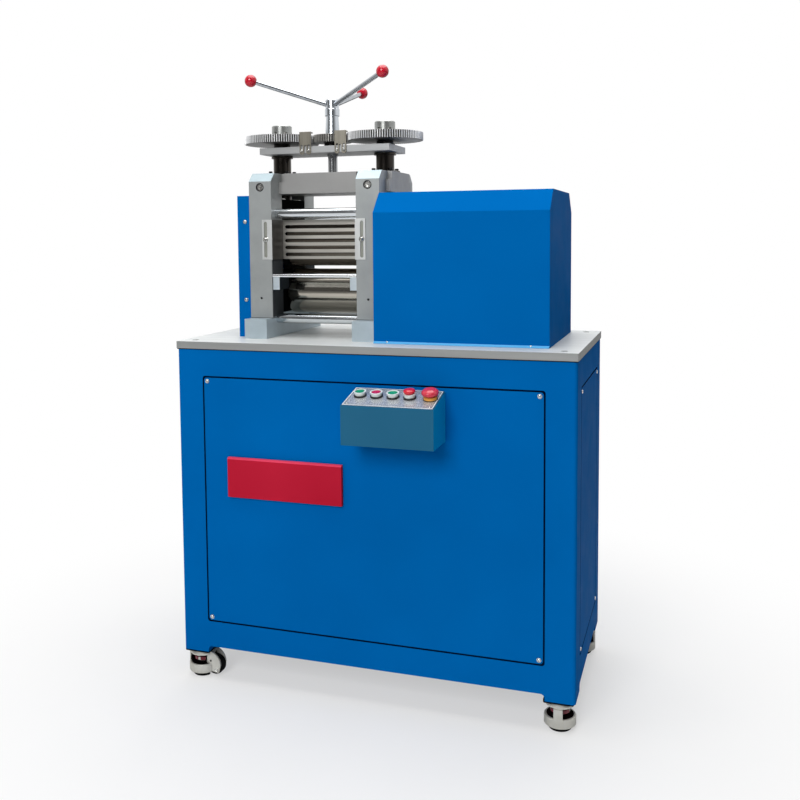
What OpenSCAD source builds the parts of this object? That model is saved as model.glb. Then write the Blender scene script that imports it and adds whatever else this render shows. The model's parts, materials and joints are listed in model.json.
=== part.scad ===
// Electric jewellery rolling mill: a roll stand with a geared screw-down on a
// steel cabinet that stands on four levelling casters. Millimetres, +Z up.
// The origin is on the floor, at the centre of the whole machine's footprint.

/* [Cabinet] */
// Width of the cabinet body
cab_w = 1000; // [800:1:1300]
// Depth of the cabinet body
cab_d = 500; // [410:1:700]
// Height of the cabinet body, from the leg ends to the underside of the table
cab_h = 783; // [600:1:1000]
// Thickness of the folded frame posts and rails
frame_t = 30; // [20:1:40]
// Width of a corner post seen from the front
post_w = 70; // [50:1:100]
// Width of a corner post seen from the side
side_post_w = 75; // [50:1:100]
// Height of the top rail
top_rail_h = 68; // [40:1:100]
// Height of the bottom rail
bottom_rail_h = 66; // [40:1:100]
// How far the legs reach below the bottom rail
leg_h = 16; // [8:1:40]
// Thickness of the foot plate that closes a leg
foot_plate_t = 6; // [4:1:12]
// Radius of the fillet between a leg and the bottom rail
leg_fillet = 10; // [4:1:14]
// Radius of the folded vertical corners
corner_r = 8; // [3:1:15]
// Thickness of the removable panels
panel_t = 3; // [1.5:0.5:5]
// Gap all round a removable panel
panel_gap = 4; // [1.5:0.5:5]
// Width of the frame's ledge that a panel is screwed to
panel_ledge = 14; // [8:1:20]
// Corner radius of a removable panel
panel_r = 7; // [3:1:12]

/* [Table] */
// Thickness of the steel table plate
plate_t = 18; // [12:1:30]
// Overhang of the table plate past the cabinet
plate_lip = 2; // [0:1:10]
// Diameter of the sunk bolt holes in the table's corners
plate_hole_d = 17; // [10:0.5:22]
// Depth of the sunk bolt holes
plate_hole_depth = 10; // [5:1:11]
// Distance of the bolt holes from the cabinet's sides
plate_hole_inset = 34; // [20:1:60]

/* [Roll stand] */
// Distance from the cabinet's left side to the middle of the stand
stand_from_left = 319; // [280:1:500]
// How far the stand sits behind the middle of the table
stand_setback = 28; // [0:1:35]
// Thickness of a housing, along the rolls
housing_w = 62; // [50:1:80]
// Depth of a housing above its foot
housing_d = 286; // [250:1:340]
// Depth of one housing column
column_d = 67; // [50:1:80]
// Height of the housing's foot
foot_h = 50; // [35:1:60]
// Depth of the housing's foot
foot_d = 362; // [320:1:400]
// Height from the table to the top of the housing
housing_h = 425; // [400:1:480]
// Bevel on the top corners of a column
column_bevel = 22; // [8:1:30]
// Diameter of the counterbore for the screw near the top of a column
column_screw_d = 22; // [14:1:26]
// Depth of that counterbore
column_screw_depth = 6; // [3:0.5:10]
// Distance from the column's top down to that screw
column_screw_drop = 37; // [35:1:50]
// Height from the table to the floor of the housing window
window_sill = 61; // [55:1:80]
// Height of the crosshead that closes the housings
crosshead_h = 53; // [46:1:62]
// How far the crosshead's lugs reach over the columns
lug_reach = 16; // [6:1:20]
// Thickness of the crosshead's lugs inside the housings
inner_lug = 16; // [8:1:24]
// Thickness of the crosshead's lugs outside the housings
outer_lug = 12; // [3:1:16]
// Diameter of the tie rods
tie_rod_d = 25; // [16:1:30]
// Gap between the guards and the upper tie rods
rod_guard_gap = 3.5; // [1:0.5:6]
// Height of the lower tie rods over the table
lower_rod_z = 48; // [30:0.5:50]

/* [Rolls] */
// Diameter of the rolls
roll_d = 120; // [100:1:124]
// Opening between the rolls as drawn
roll_gap = 7; // [1:0.5:12]
// Height from the table to the lower roll's axis
lower_roll_z = 115; // [110:1:125]
// Diameter of the roll necks
neck_d = 70; // [50:1:80]
// End clearance between a roll and a housing
roll_end_gap = 2; // [1:0.5:5]
// Gap between a lower chock and the upper chock over it
chock_gap = 19; // [12:1:24]
// Room over the upper chocks for the rolls to open
chock_headroom = 13; // [10:1:20]
// Running clearance of shafts in their bores, on the radius
running_clear = 0.05; // [0.02:0.01:0.1]
// Sliding clearance of a chock in its window
chock_clear = 0.5; // [0.2:0.1:1]

/* [Screw-down] */
// Module of the gears
gear_m = 2; // [1.8:0.1:2.2]
// Teeth on each screw gear
gear_teeth = 98; // [90:2:104]
// Teeth on the handle's pinion
pinion_teeth = 49; // [45:2:55]
// Face width of the gears
gear_t = 20; // [12:1:30]
// Thinning of each tooth flank for backlash
flank_relief = 0.15; // [0.1:0.01:0.3]
// Diameter of the pressure screws
screw_d = 48; // [36:1:52]
// Width of the square flange round a pressure screw, past the screw
flange_margin = 7; // [4:0.5:12]
// Thickness of that flange
flange_t = 6; // [4:1:10]
// Height of the bridge bar's underside over the top of the housings
bar_lift = 53; // [40:1:70]
// Length of the bridge bar past a screw's axis
bar_end = 34; // [31:1:50]
// Width of a gear clip
clip_w = 32; // [24:1:40]
// Thickness of a gear clip
clip_t = 3; // [2:0.5:4]
// Gap between a gear clip's top tab and the gears
clip_gap = 1.5; // [1:0.5:3]
// Depth of the bridge bar
bar_d = 137; // [100:1:160]
// Thickness of the bridge bar
bar_t = 17; // [10:1:25]
// How far the collar on a screw under the bar stands out
collar_lip = 5; // [3:0.5:8]
// Height of that collar
collar_h = 7; // [4:1:10]
// Diameter of the screw's journal through bar and gear
journal_d = 36; // [24:1:40]
// Height of the boss under a gear
boss_h = 13; // [8:1:20]
// Diameter of the boss under a screw gear
boss_d = 52; // [46:1:70]
// Diameter of the boss under the pinion
pinion_boss_d = 52; // [40:1:60]
// Diameter of the slotted locknuts
locknut_d = 54; // [48:1:66]
// Height of the slotted locknuts
locknut_h = 30; // [16:1:36]
// Number of spanner slots in a locknut
locknut_slots = 6; // [4:1:8]

/* [Handle] */
// Diameter of the handle's shaft
shaft_d = 25; // [18:1:30]
// How deep the shaft reaches into the crosshead
shaft_in_beam = 30; // [15:1:35]
// Height of the tapered sleeve on the pinion
sleeve_h = 50; // [30:1:80]
// Diameter of the sleeve at its foot
sleeve_foot_d = 38.5; // [32:0.5:50]
// Diameter of the sleeve at its top
sleeve_top_d = 33; // [30:0.5:40]
// Diameter of the hub's collar
hub_collar_d = 39; // [36:1:60]
// Height of the hub's collar
hub_collar_h = 20; // [10:1:30]
// Diameter of the hub
hub_d = 36; // [30:1:50]
// Height of the hub above its collar
hub_h = 24; // [20:1:40]
// Diameter of the arms
arm_d = 12; // [8:0.5:14]
// Reach from the axis to the centre of a knob
arm_reach = 213; // [150:1:260]
// Rise of an arm from the hub to its knob
arm_rise = 63; // [0:1:120]
// Bearing of the first arm, anticlockwise from +X
arm_bearing = 207.5; // [0:0.5:360]
// Diameter of the knobs
knob_d = 32; // [24:1:45]

/* [Guards and feed tables] */
// Thickness of the bent guard sheet
guard_t = 2; // [1:0.5:3]
// Width of a guard's side flange
guard_flange_w = 26; // [20:1:35]
// Distance from the upper roll's axis down to a guard's lower edge
guard_drop = 40; // [30:1:48]
// Height of a guard
guard_h = 102.5; // [96:0.5:104]
// Gap between a guard's face and the roll
guard_roll_gap = 14; // [8:1:18]
// Number of horizontal slots in a guard
guard_slots = 5; // [3:1:5]
// Height of one guard slot
guard_slot_h = 9.5; // [6:0.5:11]
// Distance from one guard slot to the next
guard_slot_pitch = 18.1; // [16:0.1:19]
// Thickness of the feed table
feed_t = 8; // [5:0.5:12]
// Height of the feed table's top below the lower roll's top
feed_drop = 10.5; // [6:0.5:20]
// Gap between a feed table and the roll's front
feed_roll_gap = 12; // [8:1:20]
// Width of a feed table bracket
bracket_w = 19; // [12:1:25]
// Height of a feed table bracket
bracket_h = 32.5; // [25:0.5:40]

/* [Covers] */
// Height of both sheet covers
cover_h = 367; // [320:1:371]
// Thickness of the cover sheet
cover_t = 3; // [1.5:0.5:5]
// Width of the left cover
left_cover_w = 35; // [25:1:60]
// Distance of the left cover's ends from the housing's faces
left_cover_inset = 2; // [0:0.5:10]
// Gap between the right cover and the housing
cover_gap = 3.4; // [1:0.1:10]
// Distance from the right cover to the cabinet's right side
cover_right_margin = 73; // [40:1:120]
// Distance from the right cover to the cabinet's front
cover_front_margin = 73.5; // [40:0.5:110]
// Distance from the right cover to the cabinet's back
cover_back_margin = 48; // [30:1:80]
// Height of the right cover's sloped shoulders
shoulder_h = 50; // [20:1:90]
// Depth of the right cover's sloped shoulders
shoulder_d = 48; // [20:1:90]

/* [Control box] */
// Width of the control box
ctl_w = 220; // [190:1:300]
// Depth of the control box
ctl_d = 103; // [70:1:130]
// Height of the control box's front
ctl_front_h = 92; // [60:1:130]
// Height of the control box's back
ctl_back_h = 117; // [80:1:160]
// Distance from the middle of the cabinet to the middle of the box
ctl_x = 89; // [-300:1:300]
// Distance from the top of the cabinet to the underside of the box
ctl_drop = 197; // [190:1:400]
// Thickness of the label plate on the sloped top
label_t = 1.5; // [1:0.5:3]
// Distance between the first four buttons
button_pitch = 40; // [36:1:50]
// Distance from the fourth button to the emergency stop
stop_pitch = 49; // [40:1:60]
// Diameter of a button's bezel
bezel_d = 29.5; // [25:0.5:32]
// Diameter of a flush button's cap
cap_d = 22; // [16:0.5:24]
// Diameter of the emergency stop's mushroom
mushroom_d = 40; // [30:1:42]
// Height of a bezel
bezel_h = 12; // [9:0.5:16]
// Height of the emergency stop's base ring
stop_base_h = 7; // [5:0.5:9]
// Gap round a cap in its bezel
button_gap = 0.5; // [0.2:0.1:1]
// Travel of the push buttons
button_travel = 3; // [2:0.5:4]

/* [Blank plate] */
// Width of the red blank plate
blank_w = 304; // [200:1:400]
// Height of the red blank plate
blank_h = 100; // [60:1:160]
// How far the red plate stands off the front panel
blank_d = 10; // [4:1:20]
// Distance from the cabinet's left side to the red plate
blank_from_left = 140; // [100:1:300]
// Distance from the top of the cabinet to the red plate's top edge
blank_drop = 269; // [200:1:400]

/* [Casters] */
// Height of a levelling caster with its plate
caster_h = 75; // [72:1:100]
// Distance from the cabinet's sides to a caster's axis
caster_inset = 40; // [38:1:60]
// How much further out the front left caster sits
front_left_shift = 7; // [0:1:7]
// Side of the square caster plate
caster_plate = 70; // [60:1:72]
// Thickness of the caster plate
caster_plate_t = 6; // [4:1:8]
// Diameter of the caster's round body
drum_d = 74; // [66:1:78]
// Diameter of the rubber foot
pad_d = 54; // [40:1:60]
// Height of the rubber foot
pad_h = 11; // [8:1:14]
// Height of the solid ring round the caster's body
ring_h = 22; // [16:1:26]
// Height of the windows in the caster's body
window_h = 24; // [16:1:26]
// Width of the rib between the windows
rib_w = 21; // [14:1:28]
// Radius of the levelling screw inside the body
jack_r = 6; // [4:0.5:6.5]
// Diameter of the levelling screw's thumbwheel
dial_d = 46; // [30:1:50]
// Diameter of the caster's wheel
wheel_d = 50; // [42:1:52]
// Width of the caster's wheel
wheel_w = 22; // [16:1:26]
// Distance from the swivel axis to the wheel's axle
wheel_trail = 36; // [36:1:42]
// Gap between the raised wheel and the floor
wheel_lift = 2; // [1:0.5:6]
// Gap between the wheel and the body around it
wheel_gap = 3; // [2:0.5:4]
// Thickness of a cheek beside the wheel
cheek_t = 5; // [3:0.5:7]
// Diameter of the wheel's axle
axle_d = 10; // [6:0.5:12]
// Bearings of the wheels, anticlockwise from +X: front left, front right, back right, back left
caster_bearings = [0, 90, 180, 270]; // [0:1:360]

/* [Hidden] */
CORNERS = ["front_left", "front_right", "back_right", "back_left"];
$fn = 96;
eps = 0.01;
seat = 0.3;

// Overall layout
knob_back = max([for (i = [0 : 2]) arm_reach * sin(arm_bearing + i * 120)]) + knob_d / 2;
machine_back = max(cab_d + plate_lip, cab_d / 2 + stand_setback + knob_back);
front_y = round(5 * (ctl_d - machine_back)) / 10;
back_y = front_y + cab_d;
cab_top = caster_h + cab_h;
table_z = cab_top + plate_t;
rail_z = caster_h + leg_h;
panel_z0 = rail_z + bottom_rail_h + panel_gap;
panel_z1 = cab_top - top_rail_h - panel_gap;
front_panel_w = cab_w - 2 * (post_w + panel_gap);
side_panel_w = cab_d - 2 * (side_post_w + panel_gap);
panel_h = panel_z1 - panel_z0;

// Roll stand
gear_pitch = gear_m * (gear_teeth + pinion_teeth) / 2;
stand_x = stand_from_left - cab_w / 2;
stand_y = front_y + cab_d / 2 + stand_setback;
inner_x = gear_pitch - housing_w / 2;
outer_x = gear_pitch + housing_w / 2;
window_d = housing_d - 2 * column_d;
column_y = (housing_d - column_d) / 2;
crosshead_z = housing_h - crosshead_h;
roll_l = 2 * (inner_x - roll_end_gap);
upper_roll_z = lower_roll_z + roll_d + roll_gap;
chock_reach = (roll_d + roll_gap - chock_gap) / 2;
lower_chock_top = lower_roll_z + chock_reach;
upper_chock_top = crosshead_z - chock_headroom;

// Screw-down, heights over the table
bar_z = housing_h + bar_lift;
boss_z = bar_z + bar_t + seat;
gear_z = boss_z + boss_h;
gear_top = gear_z + gear_t;
hub_z = gear_top + sleeve_h;
arm_lift = 6;
arm_z = hub_z + hub_collar_h + arm_lift;
pressure_angle = 20;
screw_tip_r = journal_d / 2 - 4;
screw_top = gear_top + locknut_h - 5;

flange_side = screw_d + 2 * flange_margin;
collar_d = screw_d + 2 * collar_lip;
mesh_x = gear_m * pinion_teeth / 2;

// Guards and feed tables
guard_z = upper_roll_z - guard_drop;
guard_face_y = roll_d / 2 + guard_roll_gap;
upper_rod_z = guard_z + guard_h + rod_guard_gap + tie_rod_d / 2;
feed_top = lower_roll_z + roll_d / 2 - feed_drop;
feed_recess = 3;
feed_y = roll_d / 2 + feed_roll_gap;
feed_d = housing_d / 2 - feed_recess - feed_y;

// Covers
right_cover_x = stand_x + outer_x + cover_gap;
right_cover_w = cab_w / 2 - cover_right_margin - right_cover_x;
right_cover_d = cab_d - cover_front_margin - cover_back_margin;

// Control box
ctl_z = cab_top - ctl_drop;
ctl_slope = atan((ctl_back_h - ctl_front_h) / ctl_d);
ctl_top_l = ctl_d / cos(ctl_slope);
row_shift = 4;
row_depth = 0.53;
button_x0 = -1.5 * button_pitch - stop_pitch / 2 + row_shift;
button_foot = button_travel + 1;

left_cover_d = housing_d - 2 * left_cover_inset;

// Casters
caster_spots = [[-1, -1], [1, -1], [1, 1], [-1, 1]];
wheel_z = wheel_d / 2 + wheel_lift;
fork_w = wheel_w + 2;
window_z = pad_h + ring_h;
collar_z = window_z + window_h;
caster_top = caster_h - caster_plate_t - seat;

// A rectangle about the origin with true arcs for corners.
module rounded_rect(w, h, r) {
    square([w - 2 * r, h], center = true);
    square([w, h - 2 * r], center = true);
    for (sx = [-1, 1], sy = [-1, 1])
        translate([sx * (w / 2 - r), sy * (h / 2 - r)]) circle(r);
}

// A round-ended slot about the origin, long along X.
module slot(l, w) {
    square([l - w, w], center = true);
    for (s = [-1, 1]) translate([s * (l - w) / 2, 0]) circle(d = w);
}

// Lifts a drawing in XY up onto the XZ plane, its face at y = 0 and its depth towards +Y.
module upright(depth) {
    translate([0, depth, 0]) rotate([90, 0, 0]) linear_extrude(depth) children();
}

// Turns a drawing in YZ into a bar along +X.
module along_x(l) {
    rotate([90, 0, 90]) linear_extrude(l) children();
}

// Places children in the roll stand's own frame: on the table, under the handle.
module on_stand() {
    translate([stand_x, stand_y, table_z]) children();
}

// Both screw axes, left then right.
module at_screws() {
    for (s = [-1, 1]) translate([s * gear_pitch, 0, 0]) children();
}

// ---- Cabinet ----

// The outline of one side of the frame, legs down, with its panel's pocket or opening.
module frame_side_outline(w, post, hole_w, hole_h) {
    difference() {
        translate([-w / 2, caster_h]) square([w, cab_h]);
        difference() {
            translate([-w / 2 + post, caster_h - eps]) square([w - 2 * post, leg_h + eps]);
            for (s = [-1, 1]) translate([s * (w / 2 - post), rail_z]) leg_corner(s);
        }
        translate([0, (panel_z0 + panel_z1) / 2]) rounded_rect(hole_w, hole_h, panel_r);
    }
}

// The concave corner between a leg and the rail: s is +1 on the right leg, -1 on the left.
module leg_corner(s) {
    mirror([s > 0 ? 1 : 0, 0]) difference() {
        translate([-eps, -leg_fillet]) square([leg_fillet + eps, leg_fillet + eps]);
        translate([leg_fillet, -leg_fillet]) circle(leg_fillet);
    }
}

// One side of the frame: a shallow pocket for the panel and the ledge behind it.
module frame_side(w, post, panel_w) {
    upright(panel_t)
        frame_side_outline(w, post, panel_w + 2 * panel_gap, panel_h + 2 * panel_gap);
    translate([0, panel_t, 0]) upright(frame_t - panel_t)
        frame_side_outline(w, post, panel_w - 2 * panel_ledge, panel_h - 2 * panel_ledge);
}

module cabinet_frame() {
    color([0.0, 0.37, 0.65])
    intersection() {
        union() {
            for (s = [0, 1]) translate([0, s * (front_y + back_y), 0]) mirror([0, s, 0])
                translate([0, front_y, 0]) frame_side(cab_w, post_w, front_panel_w);
            for (s = [-1, 1]) translate([s * cab_w / 2, (front_y + back_y) / 2, 0])
                rotate([0, 0, s * 90]) frame_side(cab_d, side_post_w, side_panel_w);
            for (sx = [-1, 1], sy = [-1, 1])
                translate([sx * (cab_w - post_w) / 2, (front_y + back_y) / 2 + sy * (cab_d - side_post_w) / 2,
                           caster_h + foot_plate_t / 2])
                    cube([post_w, side_post_w, foot_plate_t], center = true);
        }
        translate([0, (front_y + back_y) / 2, 0])
            linear_extrude(cab_top) rounded_rect(cab_w, cab_d, corner_r);
    }
}

// A flat panel that lies in the pocket of one side of the frame.
module panel(w) {
    translate([0, 0, (panel_z0 + panel_z1) / 2]) upright(panel_t) rounded_rect(w, panel_h, panel_r);
}

module front_panel() {
    color([0.0, 0.37, 0.65]) translate([0, front_y, 0]) panel(front_panel_w);
}

module back_panel() {
    color([0.0, 0.37, 0.65]) translate([0, back_y - panel_t, 0]) panel(front_panel_w);
}

module side_panel(s) {
    color([0.0, 0.37, 0.65]) translate([s * cab_w / 2, (front_y + back_y) / 2, 0])
        rotate([0, 0, s * 90]) panel(side_panel_w);
}

module floor_pan() {
    edge = 10;
    color([0.0, 0.3, 0.55]) translate([0, (front_y + back_y) / 2, rail_z - panel_t])
        linear_extrude(panel_t) {
            square([cab_w - 2 * post_w - 2 * leg_fillet, cab_d - 2 * edge], center = true);
            square([cab_w - 2 * edge, cab_d - 2 * side_post_w - 2 * leg_fillet], center = true);
        }
}

module table_plate() {
    color([0.85, 0.86, 0.86]) difference() {
        translate([0, (front_y + back_y) / 2, cab_top]) linear_extrude(plate_t)
            rounded_rect(cab_w + 2 * plate_lip, cab_d + 2 * plate_lip, 2);
        for (sx = [-1, 1], y = [front_y + plate_hole_inset, back_y - plate_hole_inset])
            translate([sx * (cab_w / 2 - plate_hole_inset), y, table_z - plate_hole_depth])
                cylinder(h = plate_hole_depth + 1, d = plate_hole_d);
    }
}

// ---- Roll stand ----

// The housing's side view: foot, two bevelled columns and the open window between them.
module housing_outline() {
    half = [[foot_d / 2, 0], [foot_d / 2, foot_h], [housing_d / 2, foot_h],
            [housing_d / 2, housing_h - column_bevel], [housing_d / 2 - column_bevel, housing_h],
            [window_d / 2, housing_h], [window_d / 2, window_sill]];
    polygon(concat(half, [for (i = [len(half) - 1 : -1 : 0]) [-half[i][0], half[i][1]]]));
}

module housing(s) {
    // Each bore in the front and back faces: height, diameter and depth.
    bores = [[window_sill + 41, 6, 14], [housing_h - column_screw_drop, column_screw_d, column_screw_depth]];
    color([0.59, 0.60, 0.62]) on_stand() difference() {
        translate([s * gear_pitch - housing_w / 2, 0, 0]) along_x(housing_w) housing_outline();
        for (side = [-1, 1], bore = bores)
            translate([s * gear_pitch, side * housing_d / 2, bore[0]]) rotate([90, 0, 0])
                cylinder(h = 2 * bore[2], d = bore[1], center = true);
    }
}

module crosshead() {
    shaft_bore = shaft_in_beam + 12;
    lug_h = crosshead_h * 0.58;
    face_d = window_d + 2 * lug_reach;
    color([0.57, 0.58, 0.59]) on_stand() difference() {
        union() {
            translate([-outer_x - outer_lug, -window_d / 2, crosshead_z])
                cube([2 * (outer_x + outer_lug), window_d, crosshead_h]);
            translate([inner_lug - inner_x, -face_d / 2, crosshead_z])
                cube([2 * (inner_x - inner_lug), face_d, crosshead_h]);
            for (s = [-1, 1], lug = [[inner_x - inner_lug - eps, inner_lug + eps], [outer_x, outer_lug]])
                translate([s * (lug[0] + lug[1] / 2), 0, crosshead_z + lug_h / 2])
                    cube([lug[1], face_d, lug_h], center = true);
        }
        at_screws() translate([0, 0, crosshead_z - 1])
            cylinder(h = crosshead_h + 2, d = screw_d + 2 * running_clear);
        translate([0, 0, housing_h - shaft_bore])
            cylinder(h = shaft_bore + 1, d = shaft_d + 2 * running_clear);
    }
}

module tie_rods() {
    color([0.82, 0.84, 0.86]) on_stand()
        for (y = [-column_y, column_y], z = [lower_rod_z, upper_rod_z])
            translate([-inner_x, y, z]) rotate([0, 90, 0]) cylinder(h = 2 * inner_x, d = tie_rod_d);
}

// ---- Rolls and chocks ----

module roll(z) {
    edge = 2;
    color([0.74, 0.73, 0.70]) on_stand() translate([0, 0, z]) rotate([0, 90, 0])
        rotate_extrude() polygon([
            [0, -outer_x], [neck_d / 2, -outer_x], [neck_d / 2, -roll_l / 2],
            [roll_d / 2 - edge, -roll_l / 2], [roll_d / 2, -roll_l / 2 + edge],
            [roll_d / 2, roll_l / 2 - edge], [roll_d / 2 - edge, roll_l / 2],
            [neck_d / 2, roll_l / 2], [neck_d / 2, outer_x], [0, outer_x]]);
}

// A pair of bearing blocks in the housing windows, from z0 to z1, bored at roll_z.
module chocks(z0, z1, roll_z, clear) {
    color([0.10, 0.11, 0.12]) on_stand() at_screws() difference() {
        translate([-housing_w / 2, -window_d / 2 + clear, z0])
            cube([housing_w, window_d - 2 * clear, z1 - z0]);
        translate([-housing_w, 0, roll_z]) rotate([0, 90, 0])
            cylinder(h = 2 * housing_w, d = neck_d + 2 * running_clear);
    }
}

// ---- Screw-down ----

module screw_flanges() {
    color([0.12, 0.12, 0.13]) on_stand() at_screws() difference() {
        translate([-flange_side / 2, -flange_side / 2, housing_h])
            cube([flange_side, flange_side, flange_t]);
        translate([0, 0, housing_h - 1]) cylinder(h = flange_t + 2, d = screw_d + 2 * running_clear);
    }
}

module bridge_bar() {
    color([0.66, 0.67, 0.68]) on_stand() difference() {
        translate([-gear_pitch - bar_end, -bar_d / 2, bar_z])
            cube([2 * (gear_pitch + bar_end), bar_d, bar_t]);
        at_screws() translate([0, 0, bar_z - 1])
            cylinder(h = bar_t + 2, d = journal_d + 2 * running_clear);
        translate([0, 0, bar_z - 1]) cylinder(h = bar_t + 2, d = shaft_d + 2 * running_clear);
    }
}

// The clip in front of each gear mesh: a plate on two slotted legs, its top bent over the gears.
module gear_clips() {
    leg_w = clip_w * 0.4;
    leg_l = 30;
    slot_w = leg_w * 0.42;
    low = bar_z - 4;
    top = gear_top + clip_gap + clip_t;
    leg_x = (clip_w - leg_w) / 2;
    color([0.45, 0.44, 0.41]) on_stand() for (s = [-1, 1])
        translate([s * mesh_x, -bar_d / 2 - clip_t, low]) {
            upright(clip_t) difference() {
                union() {
                    translate([-clip_w / 2, leg_l - leg_w / 2])
                        square([clip_w, top - low - leg_l + leg_w / 2]);
                    for (t = [-1, 1]) translate([t * leg_x, leg_l / 2]) rotate(90) slot(leg_l, leg_w);
                }
                for (t = [-1, 1]) translate([t * leg_x, leg_l / 2]) rotate(90) slot(leg_l - 8, slot_w);
            }
            translate([-clip_w / 2 + 3, 0, top - low - clip_t]) cube([clip_w - 6, 22, clip_t]);
        }
}

// Half width of a tooth, in degrees, at radius r on a wheel of z teeth.
function involute(a) = tan(a) * 180 / PI - a;
function tooth_half(z, r) =
    90 / z - flank_relief / (gear_m * z / 2) * 180 / PI
    + involute(pressure_angle) - involute(acos(gear_m * z / 2 * cos(pressure_angle) / r));

// The outline of a spur gear of z teeth, with a tooth on +X.
module gear_outline(z) {
    root_r = gear_m * (z / 2 - 1.25);
    tip_r = gear_m * (z / 2 + 1);
    radii = [root_r, gear_m * z / 2, tip_r];
    polygon([for (i = [0 : z - 1], k = [0 : 5])
        let (r = radii[k < 3 ? k : 5 - k], side = k < 3 ? -1 : 1, a = i * 360 / z + side * tooth_half(z, r))
        [r * cos(a), r * sin(a)]]);
}

// A gear with its boss below it, bored for its shaft; turned by half a tooth if half is set.
module spur_gear(z, boss, bore, half) {
    foot_h = 5;
    neck = boss * 0.85;
    difference() {
        union() {
            translate([0, 0, gear_z]) rotate([0, 0, half ? 180 / z : 0])
                linear_extrude(gear_t) gear_outline(z);
            translate([0, 0, boss_z]) cylinder(h = foot_h, d = boss);
            translate([0, 0, boss_z + foot_h - eps]) cylinder(h = boss_h - foot_h + 2 * eps, d = neck);
        }
        translate([0, 0, boss_z - 1]) cylinder(h = boss_h + gear_t + 2, d = bore);
    }
}

// The left gear's tooth on +X and the right gear's on -X must each face a space of the pinion.
module screw_gear(s) {
    half = s < 0 ? pinion_teeth % 2 == 0 : gear_teeth % 2 == 0;
    color([0.62, 0.63, 0.65]) on_stand() translate([s * gear_pitch, 0, 0])
        spur_gear(gear_teeth, boss_d, journal_d, half);
}

module pressure_screw(s) {
    color([0.13, 0.12, 0.12]) on_stand() translate([s * gear_pitch, 0, 0]) rotate_extrude()
        polygon([[0, upper_chock_top + seat], [screw_d / 2, upper_chock_top + seat],
                 [screw_d / 2, bar_z - collar_h - seat], [collar_d / 2, bar_z - collar_h - seat],
                 [collar_d / 2, bar_z - seat], [journal_d / 2, bar_z - seat],
                 [journal_d / 2, gear_top], [screw_tip_r, gear_top], [screw_tip_r, screw_top],
                 [0, screw_top]]);
}

// A round nut whose rim flares over its foot and has spanner slots that open downwards.
module locknut(s) {
    slot_w = 9;
    slot_in = 6;
    slot_top = locknut_h * 0.43;
    foot_h = 5;
    rim_r = locknut_d / 2;
    color([0.36, 0.38, 0.36]) on_stand() translate([s * gear_pitch, 0, gear_top]) difference() {
        rotate_extrude() polygon([
            [screw_tip_r, 0], [rim_r - 3, 0], [rim_r - 3, foot_h], [rim_r, foot_h + 2],
            [rim_r, locknut_h - 2], [rim_r - 2, locknut_h], [screw_tip_r, locknut_h]]);
        for (i = [0 : locknut_slots - 1]) rotate([0, 0, (i + 0.25) * 360 / locknut_slots])
            translate([rim_r - slot_in, -slot_w / 2, -1]) cube([slot_in + 1, slot_w, slot_top + 1]);
    }
}

// ---- Handle ----

module handle_shaft() {
    collar_r = 15;
    low_z = housing_h - shaft_in_beam;
    color([0.70, 0.72, 0.74]) on_stand() rotate_extrude()
        polygon([[0, low_z], [shaft_d / 2, low_z], [shaft_d / 2, bar_z - seat - 5],
                 [collar_r, bar_z - seat - 5], [collar_r, bar_z - seat], [shaft_d / 2, bar_z - seat],
                 [shaft_d / 2, hub_z + hub_collar_h], [0, hub_z + hub_collar_h]]);
}

module pinion() {
    color([0.40, 0.40, 0.40]) on_stand() spur_gear(pinion_teeth, pinion_boss_d, shaft_d, false);
}

module handle_sleeve() {
    color([0.80, 0.82, 0.85]) on_stand() rotate_extrude()
        polygon([[shaft_d / 2, gear_top], [sleeve_foot_d / 2, gear_top],
                 [sleeve_top_d / 2, hub_z], [shaft_d / 2, hub_z]]);
}

// The direction and length of an arm, from the axis up to its knob.
arm_slope = atan(arm_rise / arm_reach);
arm_l = arm_reach / cos(arm_slope);

// Places children along each of the three arms, +X being outwards along the arm.
module at_arms() {
    on_stand() for (i = [0 : 2]) rotate([0, 0, arm_bearing + i * 120])
        translate([0, 0, arm_z]) rotate([0, -arm_slope, 0]) children();
}

module handle_hub() {
    bevel = 3;
    color([0.78, 0.80, 0.82]) difference() {
        on_stand() rotate_extrude() polygon([
            [0, hub_z + hub_collar_h], [shaft_d / 2, hub_z + hub_collar_h], [shaft_d / 2, hub_z],
            [hub_collar_d / 2 - 1, hub_z], [hub_collar_d / 2, hub_z + 1],
            [hub_collar_d / 2, hub_z + hub_collar_h - bevel],
            [hub_d / 2, hub_z + hub_collar_h],
            [hub_d / 2, hub_z + hub_collar_h + hub_h - bevel],
            [hub_d / 2 - bevel, hub_z + hub_collar_h + hub_h], [0, hub_z + hub_collar_h + hub_h]]);
        at_arms() translate([hub_d / 4, 0, 0]) rotate([0, 90, 0]) cylinder(h = hub_d, d = arm_d);
    }
}

module handle_arms() {
    color([0.72, 0.74, 0.77]) at_arms() translate([hub_d / 4, 0, 0]) rotate([0, 90, 0])
        cylinder(h = arm_l - hub_d / 4 - 2, d = arm_d);
}

module handle_knobs() {
    color([0.85, 0.10, 0.14]) at_arms() difference() {
        translate([arm_l, 0, 0]) rotate([0, 90, 0]) rotate_extrude() intersection() {
            circle(d = knob_d);
            translate([0, -knob_d / 2 + 1.5]) square([knob_d, knob_d]);
        }
        rotate([0, 90, 0]) cylinder(h = arm_l - 2, d = arm_d);
    }
}

// ---- Guards and feed tables ----

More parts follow.
